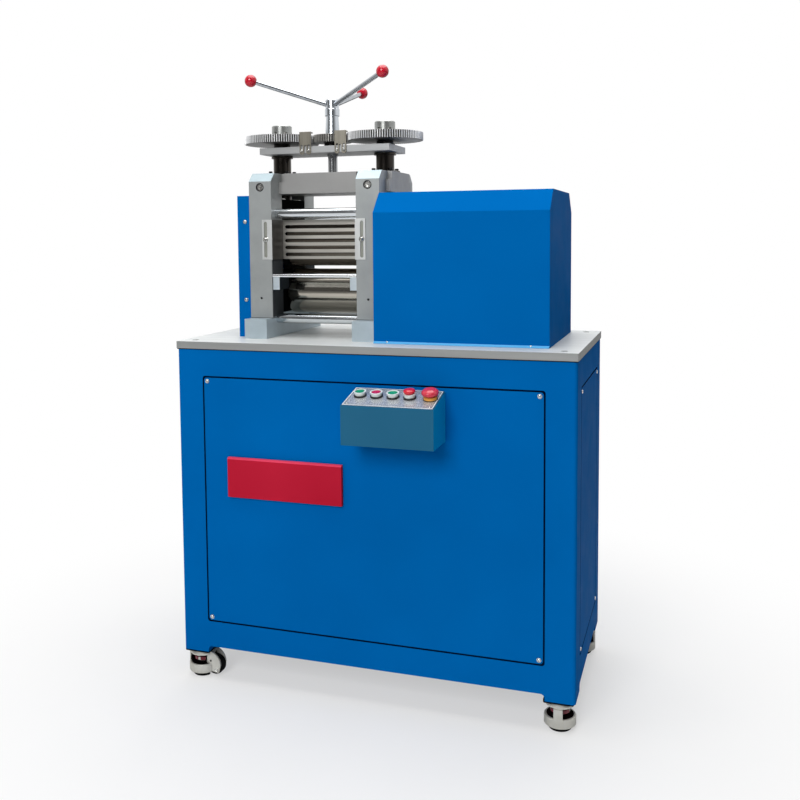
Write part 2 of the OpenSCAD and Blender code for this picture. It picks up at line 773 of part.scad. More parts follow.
// The bent sheet seen from above: side flanges, returns and the face before the roll.
module guard_plan() {
    x1 = inner_x - chock_clear;
    y1 = housing_d / 2;
    y0 = guard_face_y + guard_t;
    for (s = [-1, 1]) mirror([s < 0 ? 1 : 0, 0]) {
        translate([x1 - guard_t, y0 - guard_t]) square([guard_t, y1 + 2 * guard_t - y0]);
        translate([x1 - guard_t, y1]) square([guard_flange_w + guard_t, guard_t]);
    }
    translate([-x1, y0 - guard_t]) square([2 * x1, guard_t]);
}

module guard(s) {
    slot_l = 2 * (inner_x - 8);
    slots_z = guard_z + guard_h / 2 - 3;
    flange_slot_w = 8.5;
    flange_slot_x = inner_x - chock_clear + guard_flange_w * 0.62;
    color([0.66, 0.65, 0.62]) on_stand() mirror([0, s < 0 ? 1 : 0, 0]) difference() {
        translate([0, 0, guard_z]) linear_extrude(guard_h) guard_plan();
        for (i = [0 : guard_slots - 1])
            translate([0, guard_face_y - 1, slots_z + (i - (guard_slots - 1) / 2) * guard_slot_pitch])
                upright(guard_t + 2) slot(slot_l, guard_slot_h);
        for (t = [-1, 1]) translate([t * flange_slot_x, housing_d / 2 - 1, guard_z + guard_h / 2])
            upright(guard_t + 2) rotate(90) slot(guard_h - 10, flange_slot_w);
    }
}

module feed_tables() {
    color([0.80, 0.82, 0.82]) on_stand() for (s = [-1, 1]) mirror([0, s < 0 ? 1 : 0, 0])
        translate([-inner_x + chock_clear, feed_y, feed_top - feed_t])
            cube([2 * (inner_x - chock_clear), feed_d, feed_t]);
}

module feed_brackets() {
    inset = 8;
    color([0.66, 0.70, 0.72]) on_stand() for (sx = [-1, 1], sy = [-1, 1])
        mirror([sx < 0 ? 1 : 0, 0, 0]) mirror([0, sy < 0 ? 1 : 0, 0])
            translate([inner_x - bracket_w, feed_y + inset, feed_top - feed_t - bracket_h])
                cube([bracket_w, feed_d - inset - 1, bracket_h]);
}

// ---- Covers ----

// The end view of the right cover, inset by i for the inside of the sheet.
module right_cover_outline(i) {
    d = right_cover_d;
    k = tan(22.5) * i;
    polygon([[i, -i], [d - i, -i], [d - i, cover_h - shoulder_h - k],
             [d - shoulder_d - k, cover_h - i], [shoulder_d + k, cover_h - i], [i, cover_h - shoulder_h - k]]);
}

module right_cover() {
    color([0.0, 0.38, 0.68])
    translate([right_cover_x, front_y + cover_front_margin, table_z]) difference() {
        along_x(right_cover_w) right_cover_outline(0);
        translate([cover_t, 0, 0]) along_x(right_cover_w - 2 * cover_t) right_cover_outline(cover_t);
    }
}

module left_cover() {
    color([0.0, 0.38, 0.68]) on_stand()
    translate([-outer_x - left_cover_w, -left_cover_d / 2, 0]) difference() {
        cube([left_cover_w, left_cover_d, cover_h]);
        translate([cover_t, cover_t, -1])
            cube([left_cover_w, left_cover_d - 2 * cover_t, cover_h - cover_t + 1]);
    }
}

// ---- Control box ----

// Places children on the box: x across the front, y into the box, z up its front.
module at_control_box() {
    translate([ctl_x, front_y - ctl_d, ctl_z]) children();
}

// Places children on the sloped top, at its middle depth; z is out of the top.
module on_control_top() {
    at_control_box() translate([0, 0, ctl_front_h]) rotate([ctl_slope, 0, 0]) children();
}

module control_box() {
    color([0.16, 0.38, 0.50]) at_control_box() translate([-ctl_w / 2, 0, 0]) along_x(ctl_w)
        polygon([[0, 0], [ctl_d, 0], [ctl_d, ctl_back_h], [0, ctl_front_h]]);
}

module control_label_plate() {
    edge = 3;
    color([0.72, 0.73, 0.74]) on_control_top() translate([-ctl_w / 2 + edge, edge, 0])
        cube([ctl_w - 2 * edge, ctl_top_l - 2 * edge, label_t]);
}

// Places children at button i's axis, on the label plate.
module at_button(i) {
    on_control_top() translate([button_x0 + i * button_pitch + (i == 4 ? stop_pitch - button_pitch : 0),
                                ctl_top_l * row_depth, label_t]) children();
}

// The fixed collar of a button: a narrow base ring under a cup that widens to its rim.
module bezel(rim_d, h) {
    bore_r = cap_d / 2 + button_gap;
    base_h = 3;
    rotate_extrude() polygon([[bore_r, 0], [rim_d / 2 - 1, 0], [rim_d / 2 - 1, base_h],
                              [rim_d / 2 - 2.5, base_h], [rim_d / 2, h], [bore_r, h]]);
}

module button_bezels() {
    color([0.85, 0.86, 0.86]) {
        for (i = [0 : 3]) at_button(i) bezel(bezel_d, bezel_h);
        at_button(4) bezel(bezel_d + 4, stop_base_h);
    }
}

module button(i) {
    caps = [[0.1, 0.55, 0.35], [0.75, 0.1, 0.22], [0.1, 0.55, 0.35], [0.8, 0.08, 0.15]];
    top = bezel_h + (i == 3 ? 6 : -0.5);
    color(caps[i]) at_button(i) translate([0, 0, button_foot]) cylinder(h = top - button_foot, d = cap_d);
}

module emergency_stop() {
    head_z = stop_base_h + button_foot;
    color([0.85, 0.15, 0.2]) at_button(4) rotate_extrude()
        polygon([[0, button_foot], [cap_d / 2, button_foot], [cap_d / 2, head_z], [mushroom_d / 2 - 3, head_z],
                 [mushroom_d / 2, head_z + 3], [mushroom_d / 2, head_z + 8],
                 [mushroom_d / 2 - 4, head_z + 13], [0, head_z + 14]]);
}

module blank_plate() {
    bend_r = blank_d / 2;
    color([0.70, 0.10, 0.20])
    translate([-cab_w / 2 + blank_from_left, front_y - blank_d, cab_top - blank_drop - blank_h])
        along_x(blank_w) {
            square([blank_d, blank_h - bend_r]);
            translate([bend_r, 0]) square([blank_d - bend_r, blank_h]);
            translate([bend_r, blank_h - bend_r]) circle(bend_r);
        }
}

// ---- Casters ----

// Places children at caster i's swivel axis, on the floor.
module at_caster(i) {
    p = caster_spots[i];
    translate([p[0] * (cab_w / 2 - caster_inset + (i == 0 ? front_left_shift : 0)),
               (front_y + back_y) / 2 + p[1] * (cab_d / 2 - caster_inset), 0]) children();
}

module caster_plates() {
    color([0.08, 0.08, 0.09]) for (i = [0 : 3]) at_caster(i)
        translate([0, 0, caster_h - caster_plate_t]) linear_extrude(caster_plate_t)
            rounded_rect(caster_plate, caster_plate, 6);
}

// The cast body: a drum round the levelling screw with two windows and a rib, and the wheel's fork.
module caster_body(i) {
    drum_r = drum_d / 2;
    collar_r = drum_r - 4;
    color([0.75, 0.75, 0.73]) at_caster(i) rotate([0, 0, caster_bearings[i]]) {
        difference() {
            union() {
                rotate_extrude() polygon([
                    [0, 0], [pad_d / 2 - 2, 0], [pad_d / 2, 2], [pad_d / 2, pad_h],
                    [drum_r - 1.5, pad_h], [drum_r, pad_h + 1.5], [drum_r, window_z - 2],
                    [drum_r - 2, window_z], [jack_r, window_z], [jack_r, collar_z],
                    [collar_r, collar_z], [collar_r, collar_z + 4], [collar_r - 7, caster_top],
                    [0, caster_top]]);
                translate([0, 0, window_z + window_h / 3]) cylinder(h = window_h / 3, d = dial_d);
                intersection() {
                    translate([-drum_r, -rib_w / 2, window_z - 2]) cube([10, rib_w, window_h + 2 + eps]);
                    cylinder(h = caster_h, r = drum_r);
                }
                for (s = [-1, 1]) translate([0, s * (fork_w + cheek_t) / 2 - cheek_t / 2, 0])
                    upright(cheek_t) caster_cheek();
            }
            translate([wheel_trail - wheel_d / 2 - wheel_gap, -fork_w / 2, -1])
                cube([wheel_d + 2 * wheel_gap, fork_w, wheel_z + wheel_d / 2 + wheel_gap + 1]);
        }
        translate([wheel_trail, -fork_w / 2 - cheek_t, wheel_z]) rotate([-90, 0, 0])
            cylinder(h = fork_w + 2 * cheek_t, d = axle_d);
    }
}

// One cheek seen from the side: a fender that curves down from the collar to a rounded foot.
module caster_cheek() {
    fender_r = wheel_d * 0.73;
    fender_x = wheel_trail + 20.5 - fender_r;
    foot_r = 10;
    intersection() {
        translate([fender_x, wheel_z + 2]) circle(fender_r);
        translate([drum_d / 6, wheel_z + 2]) square([fender_r * 2, caster_top - wheel_z - 2]);
    }
    polygon([[drum_d / 6, pad_h + 2], [wheel_trail, pad_h + 2], [wheel_trail + 17, wheel_z - 10],
             [wheel_trail + 20.5, wheel_z + 2], [wheel_trail + 20.5, wheel_z + 3], [drum_d / 6, wheel_z + 3]]);
    translate([wheel_trail + 7, wheel_z - 10]) circle(foot_r);
}

module caster_wheel(i) {
    bore_r = axle_d / 2 + running_clear;
    color([0.06, 0.06, 0.07]) at_caster(i) rotate([0, 0, caster_bearings[i]])
        translate([wheel_trail, 0, wheel_z]) rotate([90, 0, 0]) rotate_extrude()
            polygon([
                [bore_r, -wheel_w / 2], [wheel_d / 2 - 3, -wheel_w / 2], [wheel_d / 2, -wheel_w / 2 + 4],
                [wheel_d / 2, wheel_w / 2 - 4], [wheel_d / 2 - 3, wheel_w / 2], [bore_r, wheel_w / 2]]);
}

cabinet_frame();
front_panel();
back_panel();
side_panel(-1);  // left_panel
side_panel(1);  // right_panel
floor_pan();
table_plate();
housing(-1);  // left_housing
housing(1);  // right_housing
crosshead();
tie_rods();
left_cover();
right_cover();
guard(-1);  // front_guard
guard(1);  // rear_guard
feed_tables();
feed_brackets();
chocks(window_sill, lower_chock_top, lower_roll_z, chock_clear / 5);  // lower_chocks
chocks(upper_roll_z - chock_reach, upper_chock_top, upper_roll_z, chock_clear);  // upper_chocks
roll(lower_roll_z);  // lower_roll
roll(upper_roll_z);  // upper_roll
screw_flanges();
bridge_bar();
gear_clips();
pressure_screw(-1);  // left_screw
screw_gear(-1);  // left_screw_gear
locknut(-1);  // left_locknut
pressure_screw(1);  // right_screw
screw_gear(1);  // right_screw_gear
locknut(1);  // right_locknut
handle_shaft();
pinion();
handle_sleeve();
handle_hub();
handle_arms();
handle_knobs();
control_box();
control_label_plate();
button_bezels();
for (i = [0 : 3]) button(i);
emergency_stop();
blank_plate();
caster_plates();
for (i = [0 : 3]) caster_body(i);
for (i = [0 : 3]) caster_wheel(i);
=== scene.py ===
"""Visual model of an electric jewellery rolling mill on its steel cabinet.

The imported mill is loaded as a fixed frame. Each sub-assembly class dresses the
frame's own pieces with procedural finishes and adds the fittings that are too
small for it, such as screws, washers, gaskets and button lenses. Sizes are in
millimetres until a piece becomes a Blender object, which is in metres.
"""

from __future__ import annotations

import json
import logging
import math
from dataclasses import dataclass, field
from enum import Enum
from typing import Callable, ClassVar, Iterable, Iterator, Sequence, Union

import bmesh
import bpy
from mathutils import Matrix, Vector

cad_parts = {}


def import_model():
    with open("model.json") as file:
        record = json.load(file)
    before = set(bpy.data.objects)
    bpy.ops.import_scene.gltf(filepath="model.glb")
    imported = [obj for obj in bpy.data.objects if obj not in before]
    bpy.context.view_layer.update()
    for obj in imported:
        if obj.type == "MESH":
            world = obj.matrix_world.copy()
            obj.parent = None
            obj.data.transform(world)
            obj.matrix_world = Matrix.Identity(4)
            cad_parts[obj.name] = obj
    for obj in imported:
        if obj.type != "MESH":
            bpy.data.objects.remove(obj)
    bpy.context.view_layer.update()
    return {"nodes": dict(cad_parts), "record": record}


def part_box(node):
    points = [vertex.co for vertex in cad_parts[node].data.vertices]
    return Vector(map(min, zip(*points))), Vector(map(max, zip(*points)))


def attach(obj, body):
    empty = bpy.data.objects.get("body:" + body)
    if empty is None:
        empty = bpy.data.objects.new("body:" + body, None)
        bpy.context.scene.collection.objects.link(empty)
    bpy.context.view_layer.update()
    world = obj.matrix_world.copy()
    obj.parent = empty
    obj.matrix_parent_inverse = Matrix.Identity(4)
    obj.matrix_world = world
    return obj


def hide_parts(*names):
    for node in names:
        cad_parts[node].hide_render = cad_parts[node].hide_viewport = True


LOG = logging.getLogger("rolling_mill")

MM = 0.001  # a millimetre, in metres
SAME_POINT = 1e-6  # points of a ring nearer than this are one, in millimetres
WELD_DISTANCE = 1e-5  # points of a piece nearer than this are welded, in millimetres
CRISP_ANGLE = 32.0  # edges that turn more than this stay crisp, in degrees
ALONG = 0.9  # a normal with more than this on an axis looks along it
ACROSS = 0.3  # a normal with less than this on an axis looks across it

Colour = tuple[int, int, int]
Pair = tuple[float, float]
Radius = Union[float, Callable[[float], float]]
Pick = Callable[[Vector, Vector], bool]


# ---------------------------------------------------------------- node graphs


def linear(colour: Colour) -> tuple[float, float, float, float]:
    """Convert an 8-bit sRGB colour to the linear values that shaders take.

    Args:
        colour: Red, green and blue, each from 0 to 255.

    Returns:
        Linear red, green and blue, and an alpha of one.
    """
    parts = []
    for value in colour:
        share = value / 255
        # The sRGB curve is straight near black and a power above it.
        parts.append(share / 12.92 if share <= 0.04045 else ((share + 0.055) / 1.055) ** 2.4)
    return parts[0], parts[1], parts[2], 1.0


class Graph:
    """A node tree, with short calls for the nodes that finishes and studio share."""

    EVEN: ClassVar[tuple[float, float, float]] = (1.0, 1.0, 1.0)
    WHITE: ClassVar[tuple[float, float, float, float]] = (1.0, 1.0, 1.0, 1.0)
    NOISE_ROUGHNESS: ClassVar[float] = 0.55
    SHADE_ENDS: ClassVar[Pair] = (0.32, 0.68)
    GLOSS_ENDS: ClassVar[Pair] = (0.3, 0.7)
    BUMP_STRENGTH: ClassVar[float] = 0.6
    CORNER_SAMPLES: ClassVar[int] = 4

    def __init__(self, owner: Union[bpy.types.Material, bpy.types.World]) -> None:
        """Take over a new owner's node tree.

        Args:
            owner: The material or world that holds the tree.
        """
        owner.use_nodes = True
        self.owner = owner
        self.tree = owner.node_tree

    @property
    def shader(self) -> bpy.types.Node:
        """The material's Principled shader."""
        return self.tree.nodes["Principled BSDF"]

    def node(self, kind: str, **inputs: object) -> bpy.types.Node:
        """Add a node and set its inputs.

        Args:
            kind: The node's type, without its "ShaderNode" prefix.
            **inputs: Socket names, with underscores for spaces, and their values.

        Returns:
            The new node.
        """
        made = self.tree.nodes.new("ShaderNode" + kind)
        for key, value in inputs.items():
            made.inputs[key.replace("_", " ")].default_value = value
        return made

    def link(self, source: bpy.types.NodeSocket, target: bpy.types.NodeSocket) -> None:
        """Join two sockets."""
        self.tree.links.new(source, target)

    def noise(
        self, scale: float, detail: float = 4.0, stretch: Sequence[float] = EVEN
    ) -> bpy.types.NodeSocket:
        """Give noise from 0 to 1, in the piece's own coordinates.

        Args:
            scale: Bumps per metre.
            detail: Octaves of the noise.
            stretch: Scale of the coordinates along X, Y and Z.

        Returns:
            The noise node's value.
        """
        place = self.node("TexCoord")
        mapping = self.node("Mapping", Scale=Vector(stretch))
        self.link(place.outputs["Object"], mapping.inputs["Vector"])
        made = self.node("TexNoise", Scale=scale, Detail=detail, Roughness=self.NOISE_ROUGHNESS)
        self.link(mapping.outputs["Vector"], made.inputs["Vector"])
        return made.outputs["Fac"]

    def remap(
        self, source: bpy.types.NodeSocket, ends: Pair, values: Pair, smooth: bool = False
    ) -> bpy.types.NodeSocket:
        """Map one range of values to another, and hold the end values beyond it.

        Args:
            source: The value to map.
            ends: Where the range starts and ends.
            values: What is given at those ends.
            smooth: Whether the change eases in and out.

        Returns:
            The mapped value.
        """
        made = self.node("MapRange", From_Min=ends[0], From_Max=ends[1], To_Min=values[0], To_Max=values[1])
        if smooth:
            made.interpolation_type = "SMOOTHSTEP"
        self.link(source, made.inputs["Value"])
        return made.outputs["Result"]

    def maths(
        self, operation: str, first: bpy.types.NodeSocket, second: bpy.types.NodeSocket
    ) -> bpy.types.NodeSocket:
        """Join two values by arithmetic.

        Args:
            operation: The Math node's operation.
            first: The first value.
            second: The second value.

        Returns:
            The result.
        """
        made = self.node("Math")
        made.operation = operation
        self.link(first, made.inputs[0])
        self.link(second, made.inputs[1])
        return made.outputs["Value"]

    def mix(
        self,
        factor: bpy.types.NodeSocket,
        first: bpy.types.NodeSocket,
        second: bpy.types.NodeSocket,
    ) -> bpy.types.NodeSocket:
        """Mix two shaders.

        Args:
            factor: The second shader's share.
            first: The first shader.
            second: The second shader.

        Returns:
            The mixed shader.
        """
        made = self.node("MixShader")
        self.link(factor, made.inputs["Fac"])
        self.link(first, made.inputs[1])
        self.link(second, made.inputs[2])
        return made.outputs["Shader"]

    def shade(self, factor: bpy.types.NodeSocket, dark: Colour, light: Colour) -> None:
        """Drive the base colour between two shades.

        Args:
            factor: The light shade's share.
            dark: The dark shade.
            light: The light shade.
        """
        ramp = self.node("ValToRGB")
        for element, position, colour in zip(ramp.color_ramp.elements, self.SHADE_ENDS, (dark, light)):
            element.position = position
            element.color = linear(colour)
        self.link(factor, ramp.inputs["Fac"])
        self.link(ramp.outputs["Color"], self.shader.inputs["Base Color"])

    def roughen(self, factor: bpy.types.NodeSocket, smooth: float, rough: float) -> None:
        """Drive the roughness between two values."""
        self.link(self.remap(factor, self.GLOSS_ENDS, (smooth, rough)), self.shader.inputs["Roughness"])

    def relief(self, height: bpy.types.NodeSocket, depth: float, edge: float) -> None:
        """Drive the normal with bumps and, where edge is set, softened corners.

        Args:
            height: The bumps, from 0 to 1.
            depth: Depth of the bumps in millimetres.
            edge: Radius of the softened corners in millimetres.
        """
        bump = self.node("Bump", Strength=self.BUMP_STRENGTH, Distance=depth * MM)
        self.link(height, bump.inputs["Height"])
        if edge > 0:
            corner = self.node("Bevel", Radius=edge * MM)
            corner.samples = self.CORNER_SAMPLES
            self.link(corner.outputs["Normal"], bump.inputs["Normal"])
        self.link(bump.outputs["Normal"], self.shader.inputs["Normal"])


# ------------------------------------------------------------------- finishes


@dataclass(frozen=True)
class Finish:
    """What every finish has: two shades, a gloss range and softened corners."""

    name: str
    dark: Colour
    light: Colour
    smooth: float = 0.35
    rough: float = 0.45
    edge: float = 0.8

    def lay(self, graph: Graph) -> None:
        """Add this finish's nodes to a graph."""
        raise NotImplementedError

    def coat(
        self,
        graph: Graph,
        tint: bpy.types.NodeSocket,
        gloss: bpy.types.NodeSocket,
        bumps: bpy.types.NodeSocket,
        depth: float,
    ) -> None:
        """Drive the shades, the gloss and the relief with three noises.

        Args:
            graph: The finish's graph.
            tint: The noise that mixes the two shades.
            gloss: The noise that varies the roughness.
            bumps: The noise that makes the relief.
            depth: Depth of the relief in millimetres.
        """
        graph.shade(tint, self.dark, self.light)
        graph.roughen(gloss, self.smooth, self.rough)
        graph.relief(bumps, depth, self.edge)

    def material(self) -> bpy.types.Material:
        """Give this finish's material, building it the first time.

        Returns:
            The material of this finish's name.
        """
        known = bpy.data.materials.get(self.name)
        if known:
            return known
        graph = Graph(bpy.data.materials.new(self.name))
        self.lay(graph)
        return graph.owner


@dataclass(frozen=True)
class Paint(Finish):
    """Sprayed enamel with a faint orange peel."""

    peel: float = 0.03
    gloss: float = 0.0007

    def lay(self, graph: Graph) -> None:
        """Add cloudy colour and orange peel.

        Args:
            graph: The finish's graph.
        """
        clouds = graph.noise(scale=3.0, detail=2.0)
        patches = graph.noise(scale=12.0)
        dimples = graph.noise(scale=420.0, detail=2.0)
        self.coat(graph, clouds, patches, dimples, self.peel)
        graph.shader.inputs["Specular IOR Level"].default_value = self.gloss


@dataclass(frozen=True)
class Metal(Finish):
    """Bare metal with grinding marks that run along one axis."""

    metallic: float = 1.0
    grain: tuple[float, float, float] = Graph.EVEN
    pitch: float = 260.0
    streaks_per_band: float = 6.0
    depth: float = 0.02

    def lay(self, graph: Graph) -> None:
        """Add streaked colour, streaked gloss and fine grinding marks.

        Args:
            graph: The finish's graph.
        """
        streaks = graph.noise(scale=self.pitch, detail=5.0, stretch=self.grain)
        bands = graph.noise(scale=self.pitch / self.streaks_per_band, detail=3.0, stretch=self.grain)
        self.coat(graph, bands, streaks, streaks, self.depth)
        graph.shader.inputs["Metallic"].default_value = self.metallic


@dataclass(frozen=True)
class Casting(Finish):
    """Cast or blasted metal with a sandy skin, partly metallic."""

    metallic: float = 0.4
    pitch: float = 700.0
    depth: float = 0.12

    def lay(self, graph: Graph) -> None:
        """Add mottled colour and a sandy relief.

        Args:
            graph: The finish's graph.
        """
        mottle = graph.noise(scale=14.0)
        patches = graph.noise(scale=60.0)
        sand = graph.noise(scale=self.pitch, detail=3.0)
        self.coat(graph, mottle, patches, sand, self.depth)
        graph.shader.inputs["Metallic"].default_value = self.metallic


@dataclass(frozen=True)
class Plastic(Finish):
    """Moulded plastic, glossy or matt."""

    clear: float = 0.0
    texture: float = 0.03

    def lay(self, graph: Graph) -> None:
        """Add even colour with a faint mould texture.

        Args:
            graph: The finish's graph.
        """
        tint = graph.noise(scale=40.0)
        patches = graph.noise(scale=90.0)
        grain = graph.noise(scale=900.0, detail=2.0)
        self.coat(graph, tint, patches, grain, self.texture)
        graph.shader.inputs["Coat Weight"].default_value = self.clear


ALONG_X = (0.05, 1.0, 1.0)
ALONG_Z = (1.0, 1.0, 0.05)

# Each finish gives its name, its dark and light shade, and its smoothest and roughest gloss.
BLUE = Paint("blue_enamel", (0, 92, 163), (0, 97, 170), 0.34, 0.44)
# Light blue of the right cover's foot flanges: a painted highlight.
FLANGE_HIGHLIGHT = Paint("flange_enamel", (86, 168, 222), (98, 178, 230), 0.3, 0.4)
BLUE_INSIDE = Paint("blue_primer", (0, 62, 112), (0, 68, 120), 0.5, 0.6)
TEAL = Paint("teal_enamel", (36, 92, 123), (41, 98, 129), 0.36, 0.44)
# Lighter teal for the control box's sides: painted light, brighter than the front.
TEAL_SIDE_LIGHT = Paint("teal_end", (3, 140, 194), (7, 147, 201), 0.36, 0.44)
SEAM = Paint("seam_shadow", (0, 10, 34), (2, 14, 42), 0.5, 0.6)
RED_PAINT = Paint("red_enamel", (172, 26, 48), (184, 33, 56), 0.32, 0.4)
# Lighter red for the blank plate's top: a painted highlight.
RED_TOP_HIGHLIGHT = Paint("red_lip", (212, 56, 86), (226, 72, 100), 0.26, 0.34)
# The table plate is one steel; its top is drawn lighter than its edge as painted light.
PLATE_EDGE = Metal(
    "milled_edge", (138, 140, 139), (148, 150, 149), 0.42, 0.55, metallic=0.2, grain=ALONG_X, edge=1.6
)
PLATE_TOP_LIGHT = Metal(
    "ground_top", (204, 207, 206), (216, 219, 218), 0.36, 0.5, metallic=0.15, grain=ALONG_X, edge=1.6
)
# Lighter, bluer grey of the housings' chamfers: a painted sheen.
CHAMFER_SHEEN = Casting("housing_chamfer", (150, 166, 172), (160, 176, 182), 0.3, 0.4, metallic=0.45, depth=0.02)
HOUSING = Casting("housing_grey", (149, 153, 153), (159, 163, 163), 0.34, 0.44, metallic=0.4, depth=0.03)
FOOT = Casting(
    "foot_grey", (166, 180, 188), (178, 192, 200), 0.34, 0.42, metallic=0.3, edge=1.2, depth=0.03
)
BEAM = Casting("crosshead_grey", (141, 141, 140), (147, 147, 146), 0.36, 0.46, metallic=0.4, depth=0.03)
BAR_STEEL = Metal("bar_grey", (158, 160, 161), (170, 171, 171), 0.34, 0.46, metallic=0.5, grain=ALONG_X)
ROD = Metal("polished_rod", (205, 210, 214), (220, 224, 227), 0.08, 0.16, grain=ALONG_X, depth=0.004)
ROLL = Metal(
    "ground_roll", (168, 162, 151), (184, 179, 169), 0.06, 0.14, grain=ALONG_X, depth=0.003, edge=0.0
)
# The upper roll is the lower roll's steel drawn darker and less metallic: painted shade behind the guard.
UPPER_ROLL_SHADE = Metal(
    "polished_roll", (112, 105, 95), (128, 121, 111),
    0.1, 0.2, grain=ALONG_X, depth=0.003, metallic=0.55, edge=0.0,
)
NOSING = Metal("polished_nosing", (236, 239, 241), (244, 246, 248), 0.1, 0.16, grain=ALONG_X, depth=0.003)
SHEET = Metal("satin_sheet", (186, 183, 176), (202, 199, 192), 0.3, 0.42, grain=ALONG_X, edge=0.5)
# Dark grey of the guards' sides: painted shade.
GUARD_SIDE_SHADE = Metal("satin_wing", (94, 93, 91), (110, 109, 107), 0.3, 0.42, grain=ALONG_Z, edge=0.5)
FLANGE_SHEET = Metal(
    "satin_flange", (204, 206, 206), (218, 220, 219), 0.32, 0.44, metallic=0.8, grain=ALONG_Z, edge=0.5
)
# Grey strips in the guard slots: painted shade.
SLOT_SHADE = Casting(
    "slot_grey", (128, 130, 122), (140, 142, 134), 0.4, 0.5, metallic=0.3, edge=0.0, depth=0.01
)
BRIGHT_SHEET = Metal("bright_sheet", (196, 200, 202), (210, 213, 214), 0.2, 0.3, grain=ALONG_X, edge=0.6)
BRACKET = Metal("bracket_steel", (186, 198, 206), (200, 210, 216), 0.34, 0.44, metallic=0.5)
# Dark grey of the feed brackets' sides: painted shade.
BRACKET_SIDE_SHADE = Paint("bracket_side", (44, 49, 53), (54, 59, 63), 0.4, 0.5)
OXIDE = Casting("black_oxide", (30, 29, 30), (44, 41, 39), 0.16, 0.28, metallic=0.85, depth=0.01)
BURNISHED = Casting("burnished_screw", (44, 41, 39), (62, 57, 52), 0.1, 0.18, metallic=0.9, depth=0.01)
# Dark plates on the columns' inner faces: painted shade.
COLUMN_SHADE = Paint("liner_black", (64, 67, 69), (76, 79, 81), 0.4, 0.5)
CHOCK = Paint("chock_black", (10, 11, 12), (18, 19, 21), 0.4, 0.52)
GEAR = Metal(
    "gear_steel", (214, 215, 216), (228, 229, 230), 0.3, 0.42, grain=ALONG_Z, edge=0.0, metallic=0.3
)
# Dark faces between gear teeth: painted shade.
TOOTH_GAP_SHADE = Casting("tooth_gap", (44, 43, 42), (60, 58, 56), 0.4, 0.5, metallic=0.3, edge=0.0, depth=0.01)
GEAR_FACE = Metal("turned_face", (120, 120, 120), (138, 138, 137), 0.34, 0.46, metallic=0.8, depth=0.01)
PINION = Metal(
    "pinion_steel", (160, 159, 155), (176, 174, 170), 0.26, 0.38, grain=ALONG_Z, edge=0.0, metallic=0.5
)
DULL_STEEL = Metal("dull_steel", (150, 152, 150), (170, 172, 169), 0.28, 0.4, pitch=180.0, metallic=0.8)
CLIP = Metal("clip_steel", (122, 118, 108), (140, 136, 126), 0.3, 0.42, grain=ALONG_Z, edge=0.4)
CHROME = Metal("chrome", (168, 173, 178), (184, 188, 193), 0.1, 0.18, grain=ALONG_Z, depth=0.002)
HUB_CHROME = Metal("satin_chrome", (190, 196, 202), (206, 211, 216), 0.18, 0.26, grain=ALONG_Z, depth=0.002)
SHAFT = Metal("turned_shaft", (150, 152, 154), (166, 168, 170), 0.16, 0.26, grain=ALONG_Z)
NICKEL = Metal("nickel", (206, 206, 202), (220, 220, 216), 0.16, 0.26, depth=0.004, edge=0.2)
BLACK_SCREW = Casting(
    "black_screw", (30, 30, 32), (42, 42, 44), 0.3, 0.4, metallic=0.7, edge=0.2, depth=0.01
)
ALLOY = Casting("die_cast_alloy", (184, 183, 174), (212, 211, 204), 0.34, 0.46, metallic=0.35, depth=0.08)
LABEL = Metal(
    "label_plate", (176, 180, 184), (198, 201, 204), 0.2, 0.32, pitch=500.0, metallic=0.45, edge=0.3
)
LABEL_EDGE = Plastic("label_border", (222, 226, 228), (232, 235, 236), 0.3, 0.4, edge=0.2)
KNOB = Plastic("knob_red", (178, 8, 34), (192, 14, 42), 0.1, 0.16)
GREEN = Plastic("button_green", (20, 140, 96), (28, 152, 104), 0.2, 0.3, edge=0.3, clear=0.3)
CRIMSON = Plastic("button_crimson", (176, 24, 70), (190, 30, 78), 0.2, 0.3, edge=0.3, clear=0.3)
LAMP_RED = Plastic("button_lamp", (196, 8, 34), (212, 14, 42), 0.15, 0.22, edge=0.3, clear=0.4)
STOP_RED = Plastic("stop_red", (196, 40, 62), (208, 50, 72), 0.1, 0.16, edge=0.4, clear=0.3)
STOP_YELLOW = Plastic("stop_yellow", (236, 178, 84), (244, 188, 96), 0.3, 0.4, edge=0.3)
PALE = Plastic("bezel_pale", (216, 224, 222), (228, 234, 232), 0.22, 0.3, edge=0.4)
BLACK = Plastic("black_plastic", (14, 14, 16), (22, 22, 24), 0.36, 0.46, edge=0.3)
PLATE_BLACK = Paint("plate_black", (8, 10, 13), (16, 18, 21), 0.4, 0.5)
TYRE = Paint("black_tyre", (14, 14, 15), (24, 24, 25), 0.46, 0.6, gloss=0.04)
RUBBER = Paint("rubber_foot", (10, 10, 11), (20, 20, 21), 0.6, 0.75, gloss=0.02)
DIAL = Plastic("dial_red", (92, 8, 26), (116, 14, 36), 0.14, 0.22, edge=0.4)
# Near-black in the casters' windows, wells, recesses and pins: painted shade.
CAVITY_SHADE = Paint("cavity_black", (10, 7, 8), (18, 13, 14), 0.5, 0.6)


# --------------------------------------------------------------------- shapes


@dataclass(frozen=True)
class Span:
    """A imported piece's box at rest, in millimetres."""

    low: Vector
    high: Vector

    @classmethod
    def of(cls, node: str) -> "Span":
        """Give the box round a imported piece."""
        low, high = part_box(node)
        return cls(Vector(low) / MM, Vector(high) / MM)

    @property
    def centre(self) -> Vector:
        """The middle of the box."""
        return (self.low + self.high) / 2

    @property
    def size(self) -> Vector:
        """The box's length along each axis."""
        return self.high - self.low

    @property
    def front_and_rear(self) -> tuple[tuple[float, int], tuple[float, int]]:
        """The Y of the front and of the rear, each with its outward sign."""
        return (self.low.y, -1), (self.high.y, 1)


def sideways(middle: Vector, normal: Vector) -> bool:
    """Pick the faces that look left or right."""
    return abs(normal.x) > ALONG


